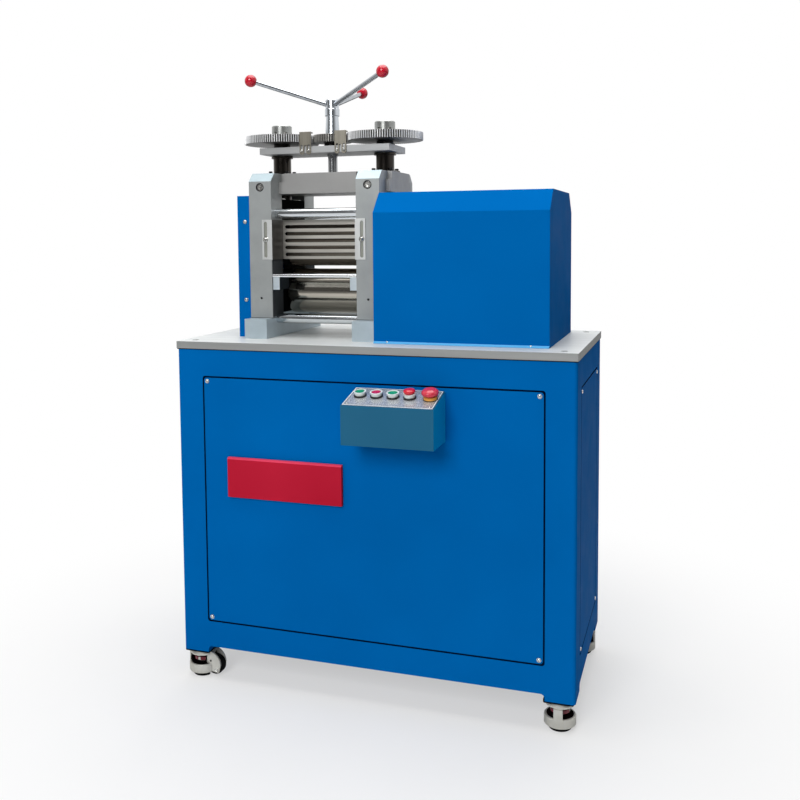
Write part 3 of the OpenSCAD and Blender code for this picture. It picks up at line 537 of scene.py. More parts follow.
def corners(x: float, y: float) -> list[Pair]:
    """Give the corners of a rectangle about the origin, from its half sizes."""
    return [(side * x, end * y) for side in (-1, 1) for end in (-1, 1)]


def facing(place: Vector, axis: Sequence[float], twist: float = 0.0) -> Matrix:
    """Give the placement of a part that is drawn along +Z.

    Args:
        place: Where the part's origin goes, in millimetres.
        axis: Where the part's +Z points.
        twist: Turn about that axis, in degrees.

    Returns:
        The placement, in millimetres.
    """
    turn = Vector(axis).to_track_quat("Z", "Y").to_matrix().to_4x4()
    return Matrix.Translation(place) @ turn @ Matrix.Rotation(math.radians(twist), 4, "Z")


def hexagon(across: float) -> Callable[[float], float]:
    """Give the outline of a hexagon as a radius for each angle.

    Args:
        across: Distance across the flats.

    Returns:
        A function from an angle in radians to a radius.
    """
    half_flat = math.pi / 6

    def radius(angle: float) -> float:
        """Give the distance from the centre to a flat."""
        return across / 2 / math.cos((angle + half_flat) % (2 * half_flat) - half_flat)

    return radius


def cross(reach: float, narrow: float) -> Callable[[float], float]:
    """Give the outline of a cross recess as a radius for each angle.

    Args:
        reach: Radius at the end of a wing.
        narrow: Radius between two wings.

    Returns:
        A function from an angle in radians to a radius.
    """
    sharpness = 5

    def radius(angle: float) -> float:
        """Give the distance from the centre to the recess's wall."""
        return narrow + (reach - narrow) * abs(math.cos(2 * angle)) ** sharpness

    return radius


def ribbed(rim: float, ribs: int, depth: float) -> Callable[[float], float]:
    """Give the outline of a gripped rim as a radius for each angle.

    Args:
        rim: Radius at the top of a rib.
        ribs: How many ribs go round.
        depth: How deep the grooves between them are.

    Returns:
        A function from an angle in radians to a radius.
    """

    def radius(angle: float) -> float:
        """Give the distance from the centre to the ribs."""
        return rim - depth * (0.5 + 0.5 * math.cos(ribs * angle))

    return radius


def rounded_rectangle(width: float, height: float, radius: float, steps: int = 5) -> list[Pair]:
    """Give the outline of a rectangle with round corners, about the origin.

    Args:
        width: Size along X.
        height: Size along Y.
        radius: Corner radius.
        steps: Points on each corner, less one.

    Returns:
        The outline's points, anticlockwise.
    """
    outline = []
    for quarter, (sx, sy) in enumerate(((1, 1), (-1, 1), (-1, -1), (1, -1))):
        for step in range(steps + 1):
            angle = math.pi / 2 * (quarter + step / steps)
            x = sx * (width / 2 - radius) + radius * math.cos(angle)
            y = sy * (height / 2 - radius) + radius * math.sin(angle)
            outline.append((x, y))
    return outline


def placed(outline: Sequence[Pair], height: float, place: Matrix) -> list[Vector]:
    """Put an outline at a height in a placement.

    Args:
        outline: The outline's points, in the placement's XY plane.
        height: How far along the placement's Z axis they go.
        place: The placement, in millimetres.

    Returns:
        The outline's points as a ring.
    """
    return [place @ Vector((x, y, height)) for x, y in outline]


@dataclass
class Shape:
    """Gathers the surfaces of one piece, in millimetres, before it becomes an object."""

    name: str
    mesh: bmesh.types.BMesh = field(default_factory=bmesh.new)
    finishes: list[Finish] = field(default_factory=list)

    def slot_of(self, finish: Finish) -> int:
        """Give the index of a finish's slot, adding the slot the first time.

        Args:
            finish: The finish.

        Returns:
            The slot's index in the piece's mesh.
        """
        if finish not in self.finishes:
            self.finishes.append(finish)
        return self.finishes.index(finish)

    def skin(self, rings: Sequence[Sequence[Vector]], finish: Finish, closed: bool = False) -> None:
        """Stretch a skin over rings that have the same number of points.

        Args:
            rings: The rings in order. A ring whose points coincide becomes one point.
            finish: The skin's finish.
            closed: Whether the last ring joins the first.
        """
        index = self.slot_of(finish)
        made = []
        for ring in rings:
            if (ring[0] - ring[len(ring) // 2]).length < SAME_POINT:
                made.append([self.mesh.verts.new(ring[0])] * len(ring))
            else:
                made.append([self.mesh.verts.new(point) for point in ring])
        pairs = list(zip(made, made[1:]))
        if closed:
            pairs.append((made[-1], made[0]))
        for lower, upper in pairs:
            for k in range(len(lower)):
                n = (k + 1) % len(lower)
                outer = list(dict.fromkeys([lower[k], lower[n], upper[n], upper[k]]))
                if len(outer) > 2:
                    self.mesh.faces.new(outer).material_index = index

    def turn(
        self,
        profile: Sequence[tuple[Radius, float]],
        place: Matrix,
        finish: Finish,
        segments: int = 32,
        closed: bool = False,
    ) -> None:
        """Turn a profile about the placement's Z axis.

        Args:
            profile: Radius and height of each ring. A radius may be a function of the angle.
            place: The placement, in millimetres.
            finish: The surface's finish.
            segments: Points in a ring.
            closed: Whether the profile is a closed loop, as of a washer.
        """
        rings = []
        for radius, height in profile:
            outline = []
            for k in range(segments):
                angle = 2 * math.pi * k / segments
                reach = radius(angle) if callable(radius) else radius
                outline.append((reach * math.cos(angle), reach * math.sin(angle)))
            rings.append(placed(outline, height, place))
        self.skin(rings, finish, closed)

    def slab(
        self,
        outline: Sequence[Pair],
        depth: float,
        place: Matrix,
        finish: Finish,
        edge: float = 0.5,
    ) -> None:
        """Raise a plate from an outline that is convex, with softened upper edges.

        Args:
            outline: The outline's points, anticlockwise, in the placement's XY plane.
            depth: The plate's thickness.
            place: The placement, in millimetres.
            finish: The surface's finish.
            edge: Width of the chamfer round the top.
        """
        middle = Vector((sum(p[0] for p in outline), sum(p[1] for p in outline))) / len(outline)
        rings = []
        for inset, height in ((None, 0.0), (0.0, 0.0), (0.0, depth - edge), (edge, depth), (None, depth)):
            ring = []
            for point in outline:
                arm = Vector(point) - middle
                reach = 0.0 if inset is None else 1 - inset / arm.length
                spot = middle + arm * reach
                ring.append((spot.x, spot.y))
            rings.append(placed(ring, height, place))
        self.skin(rings, finish)

    def bar(self, section: Sequence[Vector], run: Vector, finish: Finish) -> None:
        """Draw a section out into a bar with closed ends.

        Args:
            section: The loop of points at the bar's start, in millimetres.
            run: From the start to the end.
            finish: The surface's finish.
        """
        ends = [list(section), [point + run for point in section]]
        caps = [[sum(end, Vector()) / len(end)] * len(end) for end in ends]
        self.skin([caps[0], *ends, caps[1]], finish)

    def build(self, body: str, slot: str, *replaced: str) -> bpy.types.Object:
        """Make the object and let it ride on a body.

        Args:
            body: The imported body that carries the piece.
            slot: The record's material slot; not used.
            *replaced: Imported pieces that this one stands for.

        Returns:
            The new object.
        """
        bmesh.ops.remove_doubles(self.mesh, verts=self.mesh.verts, dist=WELD_DISTANCE)
        bmesh.ops.recalc_face_normals(self.mesh, faces=self.mesh.faces)
        data = bpy.data.meshes.new(self.name)
        self.mesh.to_mesh(data)
        self.mesh.free()
        data.transform(Matrix.Scale(MM, 4))
        data.polygons.foreach_set("use_smooth", [True] * len(data.polygons))
        data.set_sharp_from_angle(angle=math.radians(CRISP_ANGLE))
        for finish in self.finishes:
            data.materials.append(finish.material())
        piece = bpy.data.objects.new(self.name, data)
        bpy.context.scene.collection.objects.link(piece)
        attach(piece, body)
        if replaced:
            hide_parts(*replaced)
        LOG.info("%s: %d faces on %s", self.name, len(data.polygons), body)
        return piece


# ------------------------------------------------------------------ fasteners


class Drive(Enum):
    """How a fastener is driven."""

    SOCKET = "socket"
    CROSS = "cross"
    HEX = "hex"


@dataclass(frozen=True)
class Fastener:
    """A screw seen from its head, drawn along +Z from the face it holds.

    The dome, the cross's wings and the depths are shares of the head's radius and height.
    """

    drive: Drive
    head: float
    height: float
    finish: Finish = NICKEL
    washer: float = 0.0
    washer_thickness: float = 1.2
    washer_hole: float = 0.4
    socket_chamfer: float = 0.6
    socket_depths: Pair = (0.55, 0.65)
    dome: tuple[Pair, ...] = ((1.0, 0.0), (0.98, 0.4), (0.8, 0.85), (0.66, 1.0))
    cross_wings: Pair = (0.62, 0.16)
    cross_depths: Pair = (0.3, 0.5)
    hex_chamfer: float = 0.8
    hex_crown: float = 0.94
    segments: int = 24

    def socket_profile(self, seat: float) -> list[tuple[Radius, float]]:
        """Give a cylinder head with a hexagon socket.

        Args:
            seat: Height of the head's underside.

        Returns:
            Radius and height of each ring.
        """
        half, top = self.head / 2, seat + self.height
        key = hexagon(half)
        wall, tip = (top - self.height * depth for depth in self.socket_depths)
        edge = self.socket_chamfer
        outside = [(half, seat), (half, top - edge), (half - edge, top)]
        return [(0.0, seat), *outside, (key, top), (key, wall), (0.0, tip)]

    def cross_profile(self, seat: float) -> list[tuple[Radius, float]]:
        """Give a domed head with a cross recess.

        Args:
            seat: Height of the head's underside.

        Returns:
            Radius and height of each ring.
        """
        half, top = self.head / 2, seat + self.height
        reach, narrow = (half * share for share in self.cross_wings)
        slot = cross(reach, narrow)
        wall, tip = (top - self.height * depth for depth in self.cross_depths)
        outside = [(half * out, seat + self.height * up) for out, up in self.dome]
        return [(0.0, seat), *outside, (slot, top), (slot, wall), (0.0, tip)]

    def hex_profile(self, seat: float) -> list[tuple[Radius, float]]:
        """Give a hexagon head with a turned crown.

        Args:
            seat: Height of the head's underside.

        Returns:
            Radius and height of each ring.
        """
        top = seat + self.height
        flats = hexagon(self.head)
        crown = self.head / 2 * self.hex_crown
        return [(0.0, seat), (flats, seat), (flats, top - self.hex_chamfer), (crown, top), (0.0, top)]

    def add(self, shape: Shape, place: Matrix) -> None:
        """Add the fastener to a shape.

        Args:
            shape: The shape that gathers it.
            place: Where the washer's or the head's underside sits.
        """
        seat = 0.0
        if self.washer > 0:
            seat = self.washer_thickness
            inner, outer = self.head / 2 * self.washer_hole, self.washer / 2
            ring = [(inner, 0.0), (outer, 0.0), (outer, seat), (inner, seat)]
            shape.turn(ring, place, self.finish, self.segments, closed=True)
        profiles = {
            Drive.SOCKET: self.socket_profile,
            Drive.CROSS: self.cross_profile,
            Drive.HEX: self.hex_profile,
        }
        shape.turn(profiles[self.drive](seat), place, self.finish, self.segments)


PANEL_SCREW = Fastener(Drive.CROSS, head=9.0, height=2.6, washer=11.0)
SMALL_SCREW = Fastener(Drive.CROSS, head=5.0, height=1.4)
TABLE_SCREW = Fastener(Drive.SOCKET, head=13.0, height=8.0, finish=BLACK_SCREW)
CASTER_SCREW = Fastener(Drive.SOCKET, head=11.0, height=1.6)
FLANGE_SCREW = Fastener(Drive.SOCKET, head=10.0, height=5.5, finish=BLACK_SCREW)
COLUMN_SCREW = Fastener(Drive.SOCKET, head=17.0, height=5.2)
GUARD_SCREW = Fastener(Drive.CROSS, head=12.0, height=4.5, washer=15.0)
CLIP_SCREW = Fastener(Drive.CROSS, head=8.5, height=3.0)
CHOCK_BOLT = Fastener(Drive.HEX, head=22.0, height=2.6, washer=30.0)


# -------------------------------------------------------------- sub-assemblies


@dataclass
class Assembly:
    """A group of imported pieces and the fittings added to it."""

    nodes: dict[str, bpy.types.Object]
    record: dict[str, object]

    def dress(self, finish: Finish, *names: str) -> None:
        """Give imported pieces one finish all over.

        Args:
            finish: The finish.
            *names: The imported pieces.
        """
        for name in names:
            data = self.nodes[name].data
            data.materials.clear()
            data.materials.append(finish.material())
            LOG.info("%s: dressed in %s", name, finish.name)

    def dress_where(self, name: str, finish: Finish, pick: Pick) -> None:
        """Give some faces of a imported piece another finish.

        Args:
            name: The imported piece.
            finish: The finish of the chosen faces.
            pick: Takes a face's middle, in millimetres, and its normal, and says whether it is chosen.
        """
        data = self.nodes[name].data
        data.materials.append(finish.material())
        index = len(data.materials) - 1
        for polygon in data.polygons:
            if pick(polygon.center / MM, polygon.normal):
                polygon.material_index = index

    def build(self) -> None:
        """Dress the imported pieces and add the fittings."""
        raise NotImplementedError


@dataclass
class Cabinet(Assembly):
    """The blue cabinet, its panels' screws, the table plate and the red blank plate."""

    panels: dict[str, tuple[int, int, int]] = field(
        default_factory=lambda: {
            "front_panel": (0, -1, 0),
            "back_panel": (0, 1, 0),
            "left_panel": (-1, 0, 0),
            "right_panel": (1, 0, 0),
        }
    )
    screw_inset: float = 9.0
    screw_twist: float = 20.0
    twist_spread: float = 60.0
    side_sink: float = 1.9
    seam: float = 6.0
    seam_start: float = 0.3
    seam_end: float = 0.1
    edge_slope: float = 0.5
    top_slope: float = 0.5
    highlight_slope: float = 0.2
    hole_inset: float = 36.0
    hole_depth: float = 10.0
    gasket: tuple[Pair, ...] = ((0.0, -2.4), (0.9, -2.0), (0.9, -0.3), (0.0, -0.1))
    gasket_radius: float = 2.0

    def screw_panel(self, node: str, outward: Sequence[int]) -> None:
        """Put a screw in each corner of a panel, and sink those of the side panels.

        Args:
            node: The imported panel.
            outward: The panel's outward normal.
        """
        span = Span.of(node)
        shape = Shape(node + "_screws")
        across = 1 if outward[0] else 0
        face = Vector([span.high[k] if outward[k] > 0 else span.low[k] for k in range(3)])
        face.x -= outward[0] * self.side_sink
        inset = self.screw_inset
        for side in (span.low[across] + inset, span.high[across] - inset):
            for height in (span.low.z + inset, span.high.z - inset):
                spot = face.copy()
                spot[across] = side
                spot.z = height
                twist = self.screw_twist + height % self.twist_spread
                PANEL_SCREW.add(shape, facing(spot, outward, twist))
        shape.build("frame", node)

    def darken_seam(self, node: str, outward: Sequence[int]) -> None:
        """Darken the gap round a panel, on the panel's edge and in the frame's pocket.

        Args:
            node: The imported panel.
            outward: The panel's outward normal.
        """
        span = Span.of(node)
        out = next(k for k in range(3) if outward[k])
        across = 1 - out
        face = span.high[out] if outward[out] > 0 else span.low[out]
        deepest = span.size[out] + self.seam_end

        def on_edge(middle: Vector, normal: Vector) -> bool:
            """Pick the panel's edges."""
            return abs(normal[out]) < self.edge_slope

        def in_pocket(middle: Vector, normal: Vector) -> bool:
            """Pick the frame's faces that lie behind the panel's face and close to the panel.

            Args:
                middle: The face's middle, in millimetres.
                normal: The face's normal; not used.

            Returns:
                Whether the face is picked.
            """
            if not self.seam_start < (face - middle[out]) * outward[out] < deepest:
                return False
            return all(span.low[k] - self.seam < middle[k] < span.high[k] + self.seam for k in (across, 2))

        self.dress_where(node, SEAM, on_edge)
        self.dress_where("cabinet_frame", SEAM, in_pocket)

    def seal_table(self) -> None:
        """Lay a thin dark gasket under the table plate's edge, which also serves as the painted shadow under
        the plate's overhang.
        """
        span = Span.of("cabinet_frame")
        shape = Shape("table_gasket")
        place = Matrix.Translation((span.centre.x, span.centre.y, span.high.z))
        rings = []
        for grow, height in self.gasket:
            width, depth = span.size.x + 2 * grow, span.size.y + 2 * grow
            outline = rounded_rectangle(width, depth, self.gasket_radius, steps=3)
            rings.append(placed(outline, height, place))
        shape.skin(rings, TYRE, closed=True)
        shape.build("frame", "caster_plates")

    def bolt_table(self) -> None:
        """Put a cap screw at the bottom of each sunk hole in the table."""
        span = Span.of("table_plate")
        shape = Shape("table_bolts")
        floor = span.high.z - self.hole_depth
        for x, y in corners(span.size.x / 2 - self.hole_inset, span.size.y / 2 - self.hole_inset):
            TABLE_SCREW.add(shape, facing(Vector((span.centre.x + x, span.centre.y + y, floor)), (0, 0, 1)))
        shape.build("frame", "table_plate")

    def build(self) -> None:
        """Dress the cabinet and add its screws."""
        self.dress(BLUE, "cabinet_frame", *self.panels)
        self.dress(BLUE_INSIDE, "floor_pan")
        self.dress(PLATE_EDGE, "table_plate")
        # The plate's upward faces are painted lighter as painted light.
        self.dress_where("table_plate", PLATE_TOP_LIGHT, lambda middle, normal: normal.z > self.top_slope)
        self.dress(RED_PAINT, "blank_plate")
        # The blank plate's upward faces get a painted highlight.
        self.dress_where("blank_plate", RED_TOP_HIGHLIGHT, lambda middle, normal: normal.z > self.highlight_slope)
        for node, outward in self.panels.items():
            self.darken_seam(node, outward)
            self.screw_panel(node, outward)
        self.seal_table()
        self.bolt_table()


@dataclass
class Covers(Assembly):
    """The left and right sheet covers with their screws and the right one's foot flanges."""

    left_screws: Pair = (97.0, 300.0)
    left_screw_inset: float = 13.6
    left_twist: float = 35.0
    flange: tuple[Pair, ...] = ((-0.5, 0.2), (5.0, 0.2), (5.0, 1.6), (1.2, 5.2), (-0.5, 5.6))
    flange_end: float = 0.5
    flange_screws: Pair = (35.0, 43.0)
    flange_screw_out: float = 2.4
    flange_screw_up: float = 4.5
    flange_twist: float = 15.0

    def screw_left(self) -> None:
        """Put two screws in the front and two in the rear of the left cover."""
        span = Span.of("left_cover")
        shape = Shape("left_cover_screws")
        for height in self.left_screws:
            for y, outward in span.front_and_rear:
                spot = Vector((span.high.x - self.left_screw_inset, y, span.low.z + height))
                PANEL_SCREW.add(shape, facing(spot, (0, outward, 0), self.left_twist))
        shape.build("frame", "left_cover")

    def flange_right(self) -> None:
        """Put a screwed flange along the right cover's front and rear feet."""
        span = Span.of("right_cover")
        shape = Shape("right_cover_flange")
        start, end = self.flange_screws
        run = Vector((span.size.x - 2 * self.flange_end, 0, 0))
        for y, outward in span.front_and_rear:
            x = span.low.x + self.flange_end
            section = [Vector((x, y + outward * out, span.low.z + up)) for out, up in self.flange]
            # The flange's light blue is a painted highlight.
            shape.bar(section, run, FLANGE_HIGHLIGHT)
            for x in (span.low.x + start, span.high.x - end):
                spot = Vector((x, y + outward * self.flange_screw_out, span.low.z + self.flange_screw_up))
                SMALL_SCREW.add(shape, facing(spot, (0, outward, 1), self.flange_twist))
        shape.build("frame", "right_cover")

    def build(self) -> None:
        """Dress the covers and add their screws."""
        self.dress(BLUE, "left_cover", "right_cover")
        self.screw_left()
        self.flange_right()


@dataclass(frozen=True)
class Cap:
    """A button's cap: a stem, then steps inward and upward from the rim of its head.

    Each step is how far it lies inward of the rim and above the level where the head
    starts. The gripped steps are ribbed all round.
    """

    node: str
    piece: str
    finish: Finish
    rim: float
    level: float
    steps: tuple[Pair, ...]
    crown: float
    gripped: range = range(0)
    ribs: int = 24
    rib_depth: float = 0.45
    segments: int = 40

    def profile(self, foot: float, stem: float) -> list[tuple[Radius, float]]:
        """Give the cap's outline from its foot to its crown.

        Args:
            foot: Height at which the stem starts.
            stem: The stem's radius.

        Returns:
            Radius and height of each ring.
        """
        rings: list[tuple[Radius, float]] = [(0.0, foot), (stem, foot)]
        if self.rim > stem:
            rings.append((stem, self.level))
        for number, (inward, up) in enumerate(self.steps):
            radius = self.rim - inward
            outline = ribbed(radius, self.ribs, self.rib_depth) if number in self.gripped else radius
            rings.append((outline, self.level + up))
        return rings + [(0.0, self.level + self.crown)]


def flush_cap(node: str, finish: Finish) -> Cap:
    """Give a flush button's cap, with a rounded rim and a dished face.

    Args:
        node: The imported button.
        finish: The lens's finish.

    Returns:
        The cap.
    """
    steps = ((0.0, -1.2), (0.5, -0.3), (1.3, 0.0), (2.2, -0.3), (5.5, -0.9))
    return Cap(node, node + "_lens", finish, rim=11.0, level=11.5, steps=steps, crown=-1.0)


def lamp_cap(node: str) -> Cap:
    """Give the raised button's domed lamp lens, with a moulded rim.

    Args:
        node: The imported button.

    Returns:
        The cap.
    """
    skirt = ((0.6, 0.0), (0.0, 0.8), (0.4, 3.4), (1.8, 4.8), (3.2, 4.4))
    dome = ((3.8, 4.9), (5.6, 5.9), (9.0, 6.4))
    steps = skirt + dome
    return Cap(node, node + "_lens", LAMP_RED, rim=14.0, level=15.4, steps=steps, crown=6.5, segments=48)


def stop_cap(node: str) -> Cap:
    """Give the emergency stop's mushroom, with a gripped rim and a raised crown.

    Args:
        node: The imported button.

    Returns:
        The cap.
    """
    skirt = ((3.2, 0.0), (0.6, 2.0), (0.0, 4.5), (0.5, 8.0))
    top = ((3.0, 11.0), (6.0, 12.4), (8.0, 12.0), (9.5, 12.6), (11.0, 13.8))
    return Cap(
        node,
        node + "_head",
        STOP_RED,
        rim=20.0,
        level=11.0,
        steps=skirt + top,
        crown=14.0,
        gripped=range(1, 4),
        segments=96,
    )


@dataclass
class ControlStation(Assembly):
    """The sloped control box with its label plate, push buttons and emergency stop."""

    caps: tuple[Cap, ...] = (
        flush_cap("button_1", GREEN),
        flush_cap("button_2", CRIMSON),
        flush_cap("button_3", GREEN),
        lamp_cap("button_4"),
        stop_cap("emergency_stop"),
    )
    front_height: float = 92.0
    back_height: float = 117.0
    label_thickness: float = 1.5
    label_inset: float = 3.0
    pitch: float = 40.0
    stop_pitch: float = 49.0
    shift: float = 4.0
    rise: float = 0.53
    stem: float = 11.0
    foot: float = 4.0
    bezel_foot: float = 3.1
    borders: tuple[tuple[float, float, Finish], ...] = ((0.4, 5.0, LABEL_EDGE), (5.6, 7.6, BLACK))
    border_radii: Pair = (3.0, 2.0)
    border_levels: Pair = (-0.2, 0.25)
    label_screw_inset: float = 9.0
    gasket_hole: float = 12.0
    gasket: Pair = (14.95, 3.6)
    stop_gasket: Pair = (17.25, 1.3)
    gasket_chamfer: Pair = (0.4, 0.3)
    gasket_segments: int = 40

    def __post_init__(self) -> None:
        """Work out the label plate's slope and placement."""
        self.box = Span.of("control_box")
        slope = math.atan2(self.back_height - self.front_height, self.box.size.y)
        front = Vector((self.box.centre.x, self.box.low.y, self.box.low.z + self.front_height))
        self.plane = Matrix.Translation(front) @ Matrix.Rotation(slope, 4, "X")
        self.length = self.box.size.y / math.cos(slope)
        self.label = Vector((self.box.size.x, self.length)) - Vector((1, 1)) * 2 * self.label_inset
        self.middle = self.plane @ Matrix.Translation((0, self.length / 2, self.label_thickness))

    def axis_of(self, number: int) -> Matrix:
        """Give the placement of a button's axis on the label plate.

        Args:
            number: The button, from 0 on the left. The last is the emergency stop.

        Returns:
            The placement, with +Z out of the plate.
        """
        stop = len(self.caps) - 1
        x = self.shift - (stop - 1) / 2 * self.pitch - self.stop_pitch / 2 + number * self.pitch
        if number == stop:
            x += self.stop_pitch - self.pitch
        return self.plane @ Matrix.Translation((x, self.length * self.rise, self.label_thickness))

    def dress_bezels(self) -> None:
        """Make the bezels' feet black, as real black rings that also serve as painted shadow under each
        bezel, and the emergency stop's collar yellow.
        """
        flat = self.plane.inverted()
        lamp, stop = (self.axis_of(len(self.caps) - back).translation.x for back in (2, 1))
        split = (lamp + stop) / 2
        foot = self.label_thickness + self.bezel_foot

        def is_foot(middle: Vector, normal: Vector) -> bool:
            """Pick the feet of the bezels left of the emergency stop."""
            return (flat @ middle).z < foot and middle.x < split

        def is_collar(middle: Vector, normal: Vector) -> bool:
            """Pick the emergency stop's collar."""
            return middle.x >= split

        self.dress(PALE, "button_bezels")
        # The bezels' black feet are real rings and also painted shadow under each bezel.
        self.dress_where("button_bezels", BLACK, is_foot)
        self.dress_where("button_bezels", STOP_YELLOW, is_collar)

    def trim_label(self) -> None:
        """Add the label plate's borders, its corner screws and the buttons' gaskets."""
        shape = Shape("label_trim")
        low, high = self.border_levels
        for start, end, finish in self.borders:
            outer, inner = (
                rounded_rectangle(self.label.x - cut, self.label.y - cut, radius)
                for cut, radius in zip((start, end), self.border_radii)
            )
            loop = ((outer, low), (outer, high), (inner, high), (inner, low))
            shape.skin([placed(outline, level, self.middle) for outline, level in loop], finish, closed=True)
        inset = self.label_screw_inset
        for x, y in corners(self.label.x / 2 - inset, self.label.y / 2 - inset):
            SMALL_SCREW.add(shape, self.middle @ Matrix.Translation((x, y, 0)))
        # The black gaskets are real rings and also painted shadow round each button.
        in_chamfer, down_chamfer = self.gasket_chamfer
        for number, cap in enumerate(self.caps):
            rim, top = self.stop_gasket if cap.gripped else self.gasket
            outside = [(rim, 0.0), (rim, top - down_chamfer), (rim - in_chamfer, top)]
            ring = [(self.gasket_hole, 0.0), *outside, (self.gasket_hole, top)]
            shape.turn(ring, self.axis_of(number), BLACK, self.gasket_segments, closed=True)
        shape.build("frame", "control_label_plate")

    def build(self) -> None:
        """Dress the box and add its buttons and trim."""
        self.dress(TEAL, "control_box")
        # The box's sides get the lighter teal as painted light.
        self.dress_where("control_box", TEAL_SIDE_LIGHT, sideways)
        self.dress(LABEL, "control_label_plate")
        self.dress_bezels()
        for number, cap in enumerate(self.caps):
            shape = Shape(cap.piece)
            shape.turn(cap.profile(self.foot, self.stem), self.axis_of(number), cap.finish, cap.segments)
            shape.build(cap.node, cap.node, cap.node)
        self.trim_label()


@dataclass
class RollStand(Assembly):
    """The two housings with their rolls, chocks, guards and feed tables."""

    column_screw_height: float = 388.0
    foot_bore_height: float = 102.0
    column_bore: float = 22.0
    column_bore_depth: float = 6.0
    bore_reach: Pair = (0.3, 20.0)
    bore_slack: float = 0.1
    column_depth: float = 67.0
    foot_height: float = 50.0
    foot_slack: float = 0.5
    guard_sheet: float = 2.0
    guard_screw_x: float = 131.6
    slot_length: float = 91.0
    slot_width: float = 8.5
    slot_gap: float = 0.15
    slot_radius: float = 4.05
    slot_sink: float = 1.8
    slot_depth: float = 0.5
    flange_reach: float = 5.0
    shade_plate_gap: float = 1.5
    shade_plate_start: float = 3.0
    shade_plate_end: float = 0.5
    shade_plate_shift: float = 1.0
    shade_plate_depth: float = 0.6
    shade_plate_radius: float = 2.0
    joint_proud: float = 0.3
    joint_height: float = 1.4
    joint_radius: float = 0.4
    nosing: float = 4.3
    nosing_depth: float = 3.4
    nosing_sink: Pair = (0.2, 0.3)
    nosing_end: float = 0.2
    nosing_steps: int = 12
    chock_bolt_inset: float = 45.0
    chock_bolt_spread: float = 50.0

    def __post_init__(self) -> None:
        """Find the stand's middle, the table's top and the columns' outer faces."""
        self.left = Span.of("left_housing")
        self.right = Span.of("right_housing")
        self.guard = Span.of("front_guard")
        self.middle_x = (self.left.low.x + self.right.high.x) / 2
        self.base = self.left.low.z
        self.faces = (self.guard.low.y + self.guard_sheet, Span.of("rear_guard").high.y - self.guard_sheet)

    def columns(self) -> Iterator[tuple[Span, float, int]]:
        """Go through the columns, the left housing's first.

        Yields:
            The column's housing, the Y of its outer face and that face's outward sign.
        """
        for housing in (self.left, self.right):
            for y, outward in zip(self.faces, (-1, 1)):
                yield housing, y, outward

    def depth_of(self, middle: Vector) -> float:
        """Give how far a point lies inside the nearer pair of columns' outer faces."""
        return min(middle.y - self.faces[0], self.faces[1] - middle.y)

    def in_shaded_bore(self, middle: Vector, normal: Vector) -> bool:
        """Pick a housing's faces that lie inside the bores in its columns, which are painted black as painted
        shade.

        Args:
            middle: The face's middle, in millimetres.
            normal: The face's normal; not used.

        Returns:
            Whether the face is picked.
        """
        reach = self.column_bore / 2 + self.bore_slack
        start, end = self.bore_reach
        levels = (self.foot_bore_height, self.column_screw_height)
        beside = min(abs(middle.z - self.base - level) for level in levels)
        across = min(abs(middle.x - housing.centre.x) for housing in (self.left, self.right))
        return max(beside, across) < reach and start < self.depth_of(middle) < end

    def on_foot(self, middle: Vector, normal: Vector) -> bool:
        """Pick a housing's feet."""
        return middle.z < self.base + self.foot_height + self.foot_slack

    def on_chamfer(self, middle: Vector, normal: Vector) -> bool:
        """Pick the chamfers at the top of a housing's columns."""
        return ACROSS < normal.z < ALONG and abs(normal.y) > ACROSS

    def on_flange(self, middle: Vector, normal: Vector) -> bool:
        """Pick a guard's flanges, which lie before the columns."""
        return abs(normal.y) > ALONG and self.depth_of(middle) <= self.flange_reach

    def screw_columns(self) -> None:
        """Put a socket screw near the top of each column, front and rear."""
        shape = Shape("column_screws")
        for housing, y, outward in self.columns():
            depth = outward * self.column_bore_depth
            spot = Vector((housing.centre.x, y - depth, self.base + self.column_screw_height))
            COLUMN_SCREW.add(shape, facing(spot, (0, outward, 0), twist=10.0))
        shape.build("frame", "left_housing")

    def screw_guards(self) -> None:
        """Clamp each guard's flanges with a screw and washer in each slot, and lay a grey strip of painted
        shade in the slot.
        """
        shape = Shape("guard_screws")
        width = self.slot_width - 2 * self.slot_gap
        strip = rounded_rectangle(width, self.slot_length, self.slot_radius, steps=6)
        for node, outward in (("front_guard", -1), ("rear_guard", 1)):
            span = Span.of(node)
            y = span.low.y if outward < 0 else span.high.y
            sink = Vector((0, outward * self.slot_sink, 0))
            for side in (-1, 1):
                spot = Vector((self.middle_x + side * self.guard_screw_x, y, span.centre.z))
                GUARD_SCREW.add(shape, facing(spot, (0, outward, 0), twist=30.0 * side))
                # The grey strip in the slot is painted shade.
                place = facing(spot - sink, (0, outward, 0))
                shape.slab(strip, self.slot_depth, place, SLOT_SHADE, edge=0.1)
        shape.build("frame", "front_guard")

    def shade_columns(self) -> None:
        """Lay dark plates of painted shade on the columns' inner faces, below the guards."""
        shape = Shape("column_liners")
        low = self.base + self.foot_height + self.shade_plate_start
        high = self.guard.low.z - self.shade_plate_end
        width = self.column_depth - 2 * self.shade_plate_gap
        plate = rounded_rectangle(width, high - low, self.shade_plate_radius, steps=2)
        reach = self.column_depth / 2 + self.shade_plate_shift
        for housing, y, outward in self.columns():
            inward = 1 if housing is self.left else -1
            x = housing.high.x if inward > 0 else housing.low.x
            spot = Vector((x, y - outward * reach, (low + high) / 2))
            shape.slab(plate, self.shade_plate_depth, facing(spot, (inward, 0, 0)), COLUMN_SHADE, edge=0.2)
        shape.build("frame", "lower_chocks")

